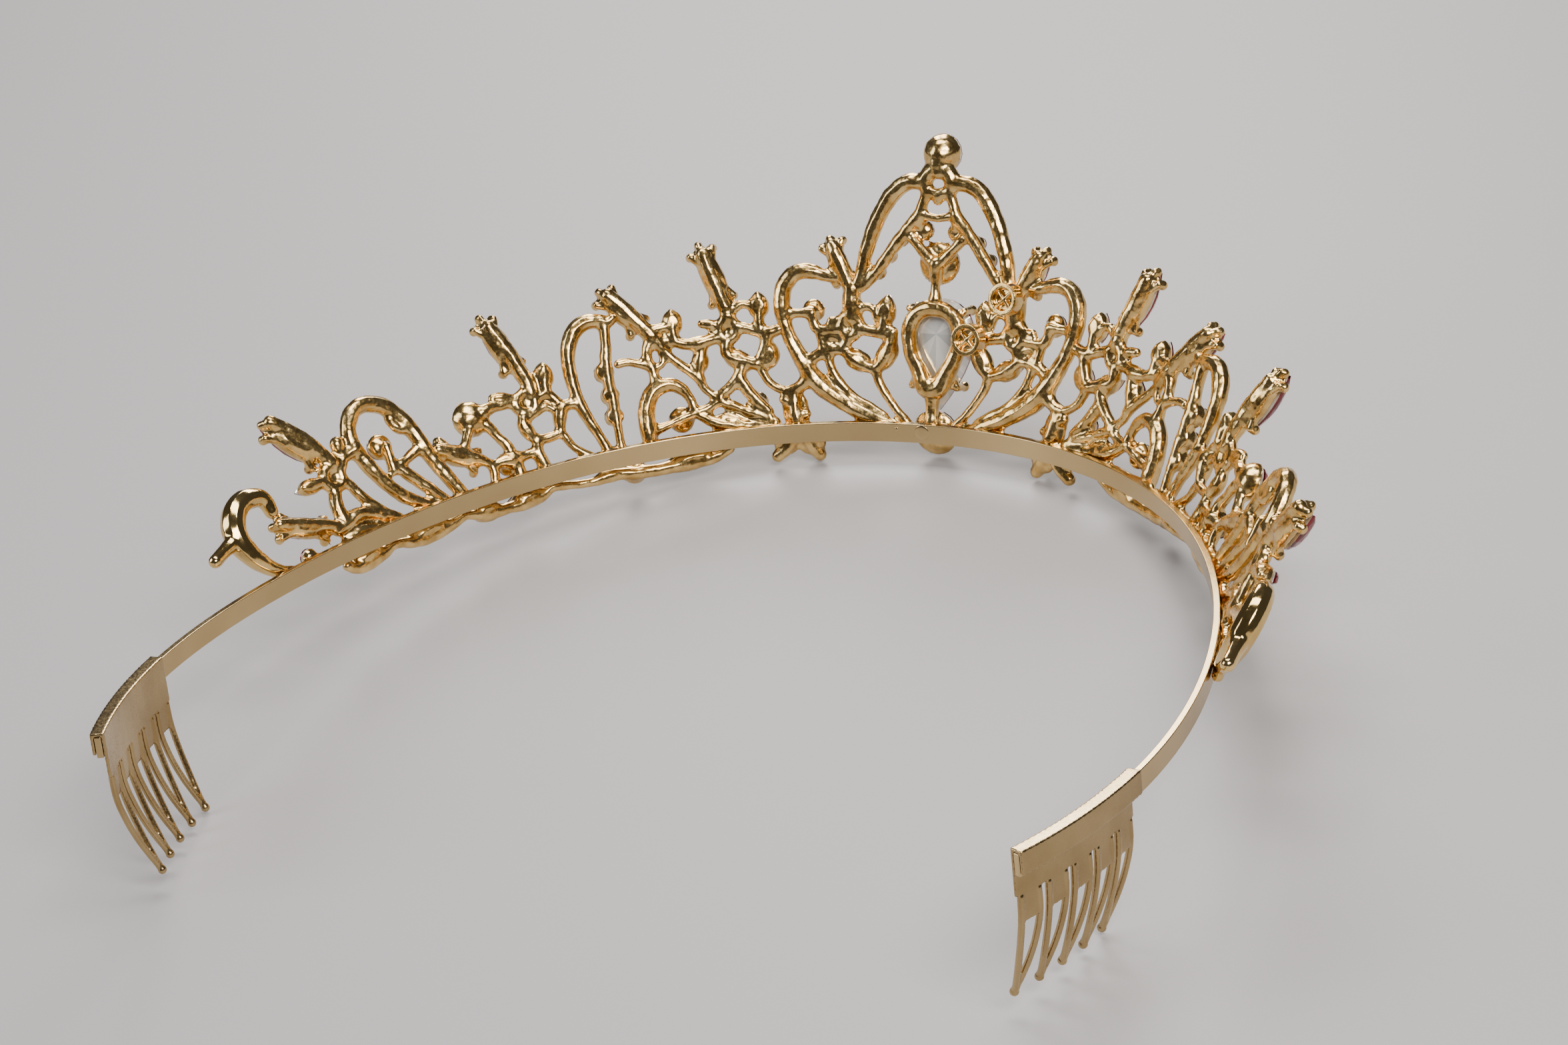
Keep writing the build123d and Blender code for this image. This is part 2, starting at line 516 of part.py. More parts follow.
side_panels = {
    "inner_scroll": (inner_limbs, inner_seats),
    "vine_panel": (vine_limbs, vine_seats),
    "hook_panel": (hook_limbs, hook_seats),
    "loop_panel": (loop_limbs, loop_seats),
    "end_scroll": (end_limbs, end_seats),
    "lower_border": (border_limbs, border_seats),
}
side_pieces = {"comb": comb()}
before = crest
for name, (limbs, seats) in side_panels.items():
    panel = cast(limbs, metal(seats))
    if name != "lower_border":
        trimmed = panel - before
        panel_solids = sorted(trimmed.solids(), key=lambda solid: -solid.volume)
        side_pieces[name] = panel_solids[0]
        before = panel
    else:
        side_pieces[name] = panel
    for kind, word in (("stick", "marquise"), ("leaf", "leaf"), ("cup", "round"), ("bead", "bead"),
                       ("ball", "ball"), ("stone", "end")):
        group = stones(seats, kind)
        if group:
            side_pieces[f"{name}_{word}_stones"] = Compound(group)
for name, shape in side_pieces.items():
    pieces[f"{name}_left"] = shape
    pieces[f"{name}_right"] = other_side(shape)

# Stand the tiara on its front leaves and its combs, with the origin under the middle of its box.
def lowest(shape, angle):
    return (Rot(angle, 0, 0) * shape).bounding_box().min.Z


low_tilt, high_tilt = 6.0, 11.0
for attempt in range(12):
    stand_tilt = (low_tilt + high_tilt) / 2
    if lowest(pieces["comb_left"], stand_tilt) < lowest(pieces["inner_scroll_left"], stand_tilt):
        low_tilt = stand_tilt
    else:
        high_tilt = stand_tilt
tilted = {name: Rot(stand_tilt, 0, 0) * shape for name, shape in pieces.items()}
boxes = [shape.bounding_box() for shape in tilted.values()]
low = [min(getattr(box.min, axis) for box in boxes) for axis in "XYZ"]
high = [max(getattr(box.max, axis) for box in boxes) for axis in "XYZ"]
shift = Pos(-(low[0] + high[0]) / 2, -(low[1] + high[1]) / 2, -low[2])

os.makedirs("parts", exist_ok=True)
for name, shape in tilted.items():
    placed = shift * shape
    export_step(placed, f"parts/{name}.step")
    volume = sum(solid.volume for solid in placed.solids())
    print(name, "solids", len(placed.solids()), "volume", round(volume))
size = [round(b - a, 2) for a, b in zip(low, high)]
print("size", size, "shift", shift.position, "tilt", stand_tilt)
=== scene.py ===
import bpy
import bmesh
import random
from math import cos, pi, radians, sin
from mathutils import Matrix, Vector


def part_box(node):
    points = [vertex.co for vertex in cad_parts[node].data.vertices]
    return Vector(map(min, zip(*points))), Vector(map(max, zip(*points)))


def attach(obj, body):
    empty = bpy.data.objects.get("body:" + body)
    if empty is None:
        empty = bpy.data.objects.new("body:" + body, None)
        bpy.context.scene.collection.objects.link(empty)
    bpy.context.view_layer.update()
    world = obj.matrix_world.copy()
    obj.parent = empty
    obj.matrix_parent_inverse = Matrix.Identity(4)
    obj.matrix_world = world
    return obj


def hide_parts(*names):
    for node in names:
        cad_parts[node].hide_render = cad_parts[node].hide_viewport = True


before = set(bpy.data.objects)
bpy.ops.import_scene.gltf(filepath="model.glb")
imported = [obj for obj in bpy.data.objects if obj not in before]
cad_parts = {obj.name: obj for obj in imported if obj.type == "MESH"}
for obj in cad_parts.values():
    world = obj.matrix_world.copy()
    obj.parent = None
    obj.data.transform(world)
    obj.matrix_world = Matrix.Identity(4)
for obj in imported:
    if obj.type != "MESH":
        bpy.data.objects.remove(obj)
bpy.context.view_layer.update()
print("frame loaded:", len(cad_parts), "nodes")

mm = 0.001

# the band in plan, in millimetres, before the tiara is tilted to stand up
band = {"frontRadius": 72.0, "terms": (-6.36, 3.35, -0.275), "height": 3.2, "thick": 1.0,
        "halfLength": 172.0, "tilt": 8.415771, "wallBase": 1.9, "leanFront": 0.29, "leanSide": 0.58,
        "leanFullPhi": 0.9, "seatHigh": 1.45}


def planPoint(phi):
    a, b, c = band["terms"]
    r = band["frontRadius"] + a * phi**2 + b * phi**4 + c * phi**6
    return Vector((r * sin(phi), -r * cos(phi), 0))


arcTable = [(0.0, 0.0)]
while arcTable[-1][0] < 175:
    s, phi = arcTable[-1]
    arcTable.append((s + (planPoint(phi + 0.002) - planPoint(phi)).length, phi + 0.002))


def phiAt(s):
    low, high = 0, len(arcTable) - 1
    while high - low > 1:
        mid = (low + high) // 2
        if arcTable[mid][0] <= abs(s):
            low = mid
        else:
            high = mid
    (s0, p0), (s1, p1) = arcTable[low], arcTable[high]
    return (-1 if s < 0 else 1) * (p0 + (p1 - p0) * (abs(s) - s0) / (s1 - s0))


def alongBand(s):
    phi = phiAt(s)
    return (planPoint(phi + 1e-4) - planPoint(phi - 1e-4)).normalized()


def outwardAt(s):
    t = alongBand(s)
    return Vector((t.y, -t.x, 0))


def leanAt(s):
    share = min(abs(phiAt(s)) / band["leanFullPhi"], 1) ** 1.3
    return band["leanFront"] + (band["leanSide"] - band["leanFront"]) * share


def facingAt(s, h):
    up = outwardAt(s) * (leanAt(s) if h > 2 else 0) + Vector((0, 0, 1))
    return alongBand(s).cross(up).normalized()


def onWall(s, h, radius=0.0, e=0.0):
    # a point of the flat drawing, e out from the scrollwork's middle surface
    d = band["wallBase"] + max(h - 2, 0) * leanAt(s)
    if h - radius < band["height"] + 0.3:
        d = max(d, band["thick"] + 0.03 + radius)
    return planPoint(phiAt(s)) + outwardAt(s) * d + Vector((0, 0, h)) + facingAt(s, h) * e


# the tilt turns the band about X, and the strip's own box says how far it was then moved
turn = Matrix.Rotation(radians(band["tilt"]), 3, "X")
stripLow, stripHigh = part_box("headband_strip")
frontEdge = turn @ Vector((0, -band["frontRadius"] - band["thick"], band["height"]))
lowEdge = turn @ Vector((0, -band["frontRadius"] - band["thick"], 0))
move = Vector((0, stripLow.y / mm - frontEdge.y, stripLow.z / mm - lowEdge.z))


def stand(point):
    return (turn @ point + move) * mm


def seatMatrix(origin, xDir, zDir):
    x = (turn @ xDir).normalized()
    z = (turn @ zDir).normalized()
    y = z.cross(x)
    o = stand(origin)
    return Matrix(((x.x * mm, y.x * mm, z.x * mm, o.x), (x.y * mm, y.y * mm, z.y * mm, o.y),
                   (x.z * mm, y.z * mm, z.z * mm, o.z), (0, 0, 0, 1)))


def roundSeat(s, h):
    return seatMatrix(onWall(s, h), alongBand(s), facingAt(s, h))


def longSeat(s0, h0, s1, h1):
    a, b = onWall(s0, h0), onWall(s1, h1)
    x = (b - a).normalized()
    out = facingAt((s0 + s1) / 2, (h0 + h1) / 2)
    return seatMatrix((a + b) / 2, x, out - x * out.dot(x)), (b - a).length


def nodeGroup(name, inputs, outputs):
    group = bpy.data.node_groups.new(name, "ShaderNodeTree")
    for label, kind, value in inputs:
        socket = group.interface.new_socket(label, in_out="INPUT", socket_type=kind)
        socket.default_value = value
    for label, kind in outputs:
        group.interface.new_socket(label, in_out="OUTPUT", socket_type=kind)
    return group, group.nodes.new("NodeGroupInput"), group.nodes.new("NodeGroupOutput")


def addNoise(tree, scale, detail, rough=0.5):
    noise = tree.nodes.new("ShaderNodeTexNoise")
    noise.inputs["Scale"].default_value = scale
    noise.inputs["Detail"].default_value = detail
    noise.inputs["Roughness"].default_value = rough
    return noise


def mathNode(tree, kind, a=None, b=None):
    node = tree.nodes.new("ShaderNodeMath")
    node.operation = kind
    for i, value in enumerate((a, b)):
        if value is not None:
            if hasattr(value, "links"):
                tree.links.new(value, node.inputs[i])
            else:
                node.inputs[i].default_value = value
    return node.outputs[0]


def buildPlatedSurface():
    # plating over cast or rolled metal: tone drifts, hazy patches, pits and darker hollows
    group, inp, out = nodeGroup(
        "platedSurface",
        [("Coarse", "NodeSocketFloat", 300.0), ("Fine", "NodeSocketFloat", 2200.0),
         ("Light Tone", "NodeSocketColor", (1, 1, 1, 1)),
         ("Deep Tone", "NodeSocketColor", (0.5, 0.4, 0.3, 1)),
         ("Low Rough", "NodeSocketFloat", 0.1), ("High Rough", "NodeSocketFloat", 0.3)],
        [("Color", "NodeSocketColor"), ("Roughness", "NodeSocketFloat"), ("Height", "NodeSocketFloat")])
    links = group.links
    coords = group.nodes.new("ShaderNodeTexCoord")
    coarse, fine = addNoise(group, 300, 3), addNoise(group, 2200, 4, 0.6)
    pits = group.nodes.new("ShaderNodeTexVoronoi")
    pits.feature = "F1"
    for node in (coarse, fine, pits):
        links.new(coords.outputs["Object"], node.inputs["Vector"])
    links.new(inp.outputs["Coarse"], coarse.inputs["Scale"])
    links.new(inp.outputs["Fine"], fine.inputs["Scale"])
    links.new(mathNode(group, "MULTIPLY", inp.outputs["Coarse"], 2.2), pits.inputs["Scale"])
    tone = group.nodes.new("ShaderNodeMix")
    tone.data_type = "RGBA"
    spread = group.nodes.new("ShaderNodeMapRange")
    spread.inputs["From Min"].default_value = 0.35
    spread.inputs["From Max"].default_value = 0.68
    links.new(coarse.outputs["Fac"], spread.inputs["Value"])
    links.new(spread.outputs["Result"], tone.inputs["Factor"])
    links.new(inp.outputs["Light Tone"], tone.inputs[6])
    links.new(inp.outputs["Deep Tone"], tone.inputs[7])
    rough = group.nodes.new("ShaderNodeMapRange")
    rough.inputs["From Min"].default_value = 0.3
    rough.inputs["From Max"].default_value = 0.7
    links.new(fine.outputs["Fac"], rough.inputs["Value"])
    links.new(inp.outputs["Low Rough"], rough.inputs["To Min"])
    links.new(inp.outputs["High Rough"], rough.inputs["To Max"])
    pit = group.nodes.new("ShaderNodeMapRange")
    pit.inputs["From Min"].default_value = 0.0
    pit.inputs["From Max"].default_value = 0.35
    links.new(pits.outputs["Distance"], pit.inputs["Value"])
    height = mathNode(group, "ADD", mathNode(group, "MULTIPLY", coarse.outputs["Fac"], 0.55),
                      mathNode(group, "MULTIPLY", fine.outputs["Fac"], 0.22))
    height = mathNode(group, "ADD", height, mathNode(group, "MULTIPLY", pit.outputs["Result"], 0.15))
    links.new(tone.outputs[2], out.inputs["Color"])
    links.new(rough.outputs["Result"], out.inputs["Roughness"])
    links.new(height, out.inputs["Height"])
    return group


platedSurface = buildPlatedSurface()

finishes = {
    "castGold": {"coarse": 420, "fine": 2600, "light": (0.86, 0.60, 0.24), "deep": (0.54, 0.33, 0.10),
                 "rough": (0.12, 0.28), "bump": 0.48, "depth": 0.00012},
    "smoothGold": {"coarse": 160, "fine": 1800, "light": (0.84, 0.60, 0.25), "deep": (0.64, 0.42, 0.14),
                   "rough": (0.06, 0.15), "bump": 0.12, "depth": 0.00006},
    "stripGold": {"coarse": 45, "fine": 1500, "light": (0.64, 0.47, 0.23), "deep": (0.52, 0.37, 0.17),
                  "rough": (0.15, 0.23), "bump": 0.04, "depth": 0.00004},
    # painted shade: the combs' gold is darker than the rest because the combs sit in shadow; the metal is the
    # same gold
    "combGoldPaintedShade": {"coarse": 110, "fine": 1900, "light": (0.46, 0.33, 0.16), "deep": (0.34, 0.23, 0.10),
                 "rough": (0.16, 0.30), "bump": 0.12, "depth": 0.00005},
}


def platedMetal(name):
    f = finishes[name]
    material = bpy.data.materials.new(name)
    material.use_nodes = True
    tree = material.node_tree
    shader = tree.nodes["Principled BSDF"]
    shader.inputs["Metallic"].default_value = 1.0
    surface = tree.nodes.new("ShaderNodeGroup")
    surface.node_tree = platedSurface
    surface.inputs["Coarse"].default_value = f["coarse"]
    surface.inputs["Fine"].default_value = f["fine"]
    surface.inputs["Light Tone"].default_value = (*f["light"], 1)
    surface.inputs["Deep Tone"].default_value = (*f["deep"], 1)
    surface.inputs["Low Rough"].default_value = f["rough"][0]
    surface.inputs["High Rough"].default_value = f["rough"][1]
    bump = tree.nodes.new("ShaderNodeBump")
    bump.inputs["Strength"].default_value = f["bump"]
    bump.inputs["Distance"].default_value = f["depth"]
    tree.links.new(surface.outputs["Color"], shader.inputs["Base Color"])
    tree.links.new(surface.outputs["Roughness"], shader.inputs["Roughness"])
    tree.links.new(surface.outputs["Height"], bump.inputs["Height"])
    tree.links.new(bump.outputs["Normal"], shader.inputs["Normal"])
    return material


castGold, smoothGold, stripGold, combGoldPaintedShade = [platedMetal(n) for n in finishes]


def stoneMaterial(name, light, deep, metallic, rough, coat):
    material = bpy.data.materials.new(name)
    material.use_nodes = True
    tree = material.node_tree
    shader = tree.nodes["Principled BSDF"]
    coords = tree.nodes.new("ShaderNodeTexCoord")
    clouds = addNoise(tree, 260, 2)
    tone = tree.nodes.new("ShaderNodeMix")
    tone.data_type = "RGBA"
    tone.inputs[6].default_value = (*light, 1)
    tone.inputs[7].default_value = (*deep, 1)
    tree.links.new(coords.outputs["Object"], clouds.inputs["Vector"])
    # painted reflection: each facet's random brightness, mottled by the clouds, blends the dim and the bright
    # colour, so lit and dim facets are painted into the base colour
    facets = tree.nodes.new("ShaderNodeAttribute")
    facets.attribute_name = "facetPaintedReflection"
    cloudy = mathNode(tree, "ADD", clouds.outputs["Fac"], 0.5)
    blend = mathNode(tree, "MULTIPLY", facets.outputs["Fac"], cloudy)
    tree.links.new(blend, tone.inputs["Factor"])
    tree.links.new(tone.outputs[2], shader.inputs["Base Color"])
    shader.inputs["Metallic"].default_value = metallic
    shader.inputs["Roughness"].default_value = rough
    shader.inputs["Coat Weight"].default_value = coat
    shader.inputs["Coat Roughness"].default_value = 0.02
    return material


# a stone is dark red glass in front and silver foil behind
# each stone's first colour is for dim facets and its second for bright ones, a painted reflection
redGlass = stoneMaterial("redGlass", (0.018, 0.0002, 0.001), (0.26, 0.001, 0.008), 0.80, 0.06, 1.0)
silverFoil = stoneMaterial("silverFoil", (0.50, 0.52, 0.52), (1.0, 0.99, 0.95), 0.42, 0.14, 1.0)
print("materials made")


def keepPiece(name, mesh, materials, nodes, smooth=True):
    piece = bpy.data.objects.new(name, mesh)
    bpy.context.scene.collection.objects.link(piece)
    for material in materials:
        piece.data.materials.append(material)
    piece.data.polygons.foreach_set("use_smooth", [smooth] * len(piece.data.polygons))
    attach(piece, "root")
    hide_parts(*nodes)
    return piece


def mirroredMesh(mesh, name):
    other = mesh.copy()
    other.name = name
    other.transform(Matrix.Diagonal((-1, 1, 1, 1)))
    other.flip_normals()
    return other


def evaluatedMesh(holder):
    bpy.context.view_layer.update()
    graph = bpy.context.evaluated_depsgraph_get()
    return bpy.data.meshes.new_from_object(holder.evaluated_get(graph))


def strokesToMesh(strokes, grow, closed=False):
    # each stroke is a smooth round limb through (s, h, radius) or (s, h, radius, e) points
    curve = bpy.data.curves.new("limbs", "CURVE")
    curve.dimensions = "3D"
    curve.bevel_depth = mm
    curve.bevel_resolution = 3
    curve.resolution_u = 6
    curve.use_fill_caps = True
    for stroke in strokes:
        spline = curve.splines.new("BEZIER")
        spline.bezier_points.add(len(stroke) - 1)
        spline.use_cyclic_u = closed
        spline.radius_interpolation = "CARDINAL"
        for point, spot in zip(spline.bezier_points, stroke):
            s, h, r = spot[:3]
            e = spot[3] if len(spot) > 3 else 0.0
            point.co = stand(onWall(s, h, r, e))
            point.radius = r + grow
            point.handle_left_type = point.handle_right_type = "AUTO"
    holder = bpy.data.objects.new("limbs", curve)
    bpy.context.scene.collection.objects.link(holder)
    mesh = evaluatedMesh(holder)
    bpy.data.objects.remove(holder)
    bm = bmesh.new()
    bm.from_mesh(mesh)
    for stroke in [] if closed else strokes:
        for spot in (stroke[0], stroke[-1]):
            e = spot[3] if len(spot) > 3 else 0.0
            place = Matrix.Translation(stand(onWall(spot[0], spot[1], spot[2], e)))
            bmesh.ops.create_icosphere(bm, subdivisions=2, radius=(spot[2] + grow) * mm, matrix=place)
    return bm


def addEllipsoid(bm, matrix, centre, half):
    bmesh.ops.create_icosphere(bm, subdivisions=3, radius=1.0,
                               matrix=matrix @ Matrix.Translation(centre) @ Matrix.Diagonal((*half, 1)))


def addHull(bm, matrix, spots):
    part = bmesh.new()
    for spot in spots:
        part.verts.new(spot)
    bmesh.ops.convex_hull(part, input=part.verts)
    bmesh.ops.delete(part, geom=[v for v in part.verts if not v.link_faces], context="VERTS")
    bmesh.ops.recalc_face_normals(part, faces=part.faces)
    bmesh.ops.transform(part, matrix=matrix, verts=part.verts)
    mesh = bpy.data.meshes.new("hull")
    part.to_mesh(mesh)
    part.free()
    bm.from_mesh(mesh)
    bpy.data.meshes.remove(mesh)


def addNavette(bm, matrix, length, width, low, high):
    # a leaf-shaped seat: upright sides at the stone and a rounded back
    outline = navetteOutline(length, width, 24, 2.8)
    deep = high - low
    spots = ringPoints(outline, 0.88, high) + ringPoints(outline, 1, high - 0.35 * deep)
    spots += ringPoints(outline, 0.90, high - 0.70 * deep) + ringPoints(outline, 0.50, low)
    addHull(bm, matrix, spots)


def addClaw(bm, matrix, x, y, top, r=0.42, start=0.45):
    # a claw runs out from under the stone, turns up beside it and ends in a bead
    for a, b in (((x * start, y * start, 0.5), (x, y, 0.75)), ((x, y, 0.75), (x, y, top))):
        a, b = Vector(a), Vector(b)
        place = Matrix.Translation((a + b) / 2) @ (b - a).to_track_quat("Z", "Y").to_matrix().to_4x4()
        bmesh.ops.create_cone(bm, cap_ends=True, segments=10, radius1=r, radius2=r, depth=(b - a).length,
                              matrix=matrix @ place)
        addEllipsoid(bm, matrix, b, (r, r, r))
    addEllipsoid(bm, matrix, Vector((x, y, top)), (r * 1.25, r * 1.25, r * 1.2))


casting = {"voxel": 0.21, "web": 0.46, "shrink": 0.20, "smoothing": 6, "lump": 0.26, "lumpSize": 2.1,
           "grain": 0.04, "grainSize": 0.6}


def castMesh(name, bm, **changes):
    # limbs and seats melt together: they are made a little fat, joined, and shrunk back, which leaves webs
    c = {**casting, **changes}
    mesh = bpy.data.meshes.new(name)
    bm.to_mesh(mesh)
    bm.free()
    holder = bpy.data.objects.new(name, mesh)
    bpy.context.scene.collection.objects.link(holder)
    remesh = holder.modifiers.new("join", "REMESH")
    remesh.mode = "VOXEL"
    remesh.voxel_size = c["voxel"] * mm
    shrink = holder.modifiers.new("shrink", "DISPLACE")
    shrink.mid_level = 0.0
    shrink.strength = -c["shrink"] * mm
    smooth = holder.modifiers.new("smooth", "SMOOTH")
    smooth.factor = 0.5
    smooth.iterations = c["smoothing"]
    for label in ("lump", "grain"):
        if c[label] > 0:
            clouds = bpy.data.textures.new(name + label, "CLOUDS")
            clouds.noise_scale = c[label + "Size"] * mm
            clouds.noise_depth = 1
            lumps = holder.modifiers.new(label, "DISPLACE")
            lumps.texture = clouds
            lumps.texture_coords = "LOCAL"
            lumps.mid_level = 0.5
            lumps.strength = c[label] * mm
    final = evaluatedMesh(holder)
    final.name = name
    bpy.data.objects.remove(holder)
    print(name, "triangles", 2 * len(final.polygons))
    return final


def ringPoints(outline, scale, z, skip=1, start=0):
    return [Vector((x * scale, y * scale, z)) for x, y in outline[start::skip]]


paintedReflectionDice = random.Random(7)   # painted reflection: how bright each facet is painted, as its neighbours reflect different things


def addStone(bm, matrix, outline, low, pavilion, girdle, crown, table=0.6, keel=0.0):
    # facets are the flats of a hull over the girdle, two crown rings and the culet
    stone = bmesh.new()
    z1, z2 = low + pavilion, low + pavilion + girdle
    spots = ringPoints(outline, 1, z1) + ringPoints(outline, 1, z2)
    spots += ringPoints(outline, table + 0.72 * (1 - table), z2 + crown * 0.45, 2, 1)
    spots += ringPoints(outline, table + 0.34 * (1 - table), z2 + crown * 0.80, 2)
    spots += ringPoints(outline, table, z2 + crown, 2, 1)
    spots += ringPoints(outline, 0.5, low + 0.12 * pavilion, 2)
    reach = max(x for x, y in outline) * keel
    spots += [Vector((-reach, 0, low)), Vector((reach + 0.001, 0, low))]
    for spot in spots:
        stone.verts.new(spot)
    hull = bmesh.ops.convex_hull(stone, input=stone.verts)
    loose = [v for v in stone.verts if not v.link_faces]
    bmesh.ops.delete(stone, geom=loose, context="VERTS")
    bmesh.ops.recalc_face_normals(stone, faces=stone.faces)
    # painted reflection: each facet gets a random brightness that the stone materials turn into lighter or
    # darker facet colour
    tone = stone.loops.layers.float_color.new("facetPaintedReflection")
    for face in stone.faces:
        face.material_index = 1 if face.normal.z < -0.12 else 0
        value = 0.25 + 0.75 * paintedReflectionDice.random()
        for loop in face.loops:
            loop[tone] = (value, value, value, 1)
    bmesh.ops.transform(stone, matrix=matrix, verts=stone.verts)
    mesh = bpy.data.meshes.new("stone")
    stone.to_mesh(mesh)
    stone.free()
    bm.from_mesh(mesh)
    bpy.data.meshes.remove(mesh)


def circleOutline(radius, count=16):
    return [(radius * cos(2 * pi * k / count), radius * sin(2 * pi * k / count)) for k in range(count)]


def navetteOutline(length, width, count=16, plump=2.0):
    points = []
    for k in range(count):
        x = cos(2 * pi * k / count)
        y = (1 if k < count / 2 else -1) * (1 - abs(x) ** plump)
        points.append((x * length / 2, y * width / 2))
    return points


def pearOutline(radius, tip, count=24):
    points = []
    for k in range(count):
        angle = 2 * pi * k / count
        if sin(angle) >= -1e-9:
            points.append((radius * cos(angle), radius * sin(angle)))
        else:
            u = 1 - abs(angle - 1.5 * pi) / (0.5 * pi)
            side = 1 if angle > 1.5 * pi else -1
            points.append((side * radius * max(0.0, cos(pi / 2 * u)) ** 0.95, -tip * u))
    return points


# Limbs are (s, h, radius) points, a fourth number being how far out they stand. A stick, a leaf or a bare
# leaf plate runs between two (s, h) points and then gives its width. Cups and beads are (s, h, radius).
crest = {
    "limbs": [
        [(0, 41.5, 1.2), (1.5, 40.9, 1.1), (1.9, 39.6, 1.1), (1.5, 38.3, 0.8), (0, 37.9, 0.7)],
        [(2.2, 39.6, 1.1), (4.6, 39.3, 1.15), (6.7, 37.4, 1.15), (8.4, 34.4, 1.1), (9.7, 31, 1.05),
         (10.7, 27.6, 0.95), (11.5, 24.2, 0.85), (12.2, 22.8, 0.95)],
        [(1.6, 38.2, 0.75), (2.1, 36.6, 0.6), (2.6, 34.8, 0.7)],
        [(0, 37.6, 0.8), (0, 36.9, 0.6)],
        [(2.4, 34.6, 0.5), (0, 34.1, 0.35)],
        [(2.6, 34.7, 0.8), (4.4, 32.3, 0.75), (6.2, 29.7, 0.8), (8.2, 26.7, 0.75), (10, 24.3, 0.7),
         (11.9, 22.9, 0.85)],
        [(3.6, 30.9, 0.65), (1.8, 28.7, 0.62), (0.3, 27.2, 0.75)],
        [(2.6, 34.2, 0.6), (2.6, 32.8, 0.5, 0.6)],
    ],
    "spine": [
        [(0, 43.6, 1.4), (0, 42.4, 1.5), (0, 41.4, 1.3)],
        [(0, 27.2, 1.1), (0, 25, 0.65), (0, 23.3, 0.6), (0, 21.7, 0.95)],
        [(0, 6.9, 1.15), (0, 4.6, 0.85), (0, 3.2, 1), (0, 1.6, 0.85)],
    ],
    "beads": [(2.4, 32.1, 1.5), (5.6, 30.5, 1.05), (7.3, 28.0, 1.1), (9.0, 25.5, 1.2)],
    "top": (0, 44.0, 3.3), "heart": (0, 27.2, 3.1), "drop": (0, 0.7, 3.4),
    "pear": {"centre": (0, 16.4), "radius": 5.6, "tip": 12.4, "low": 0.75, "girdle": 3.0, "crown": 1.6},
}
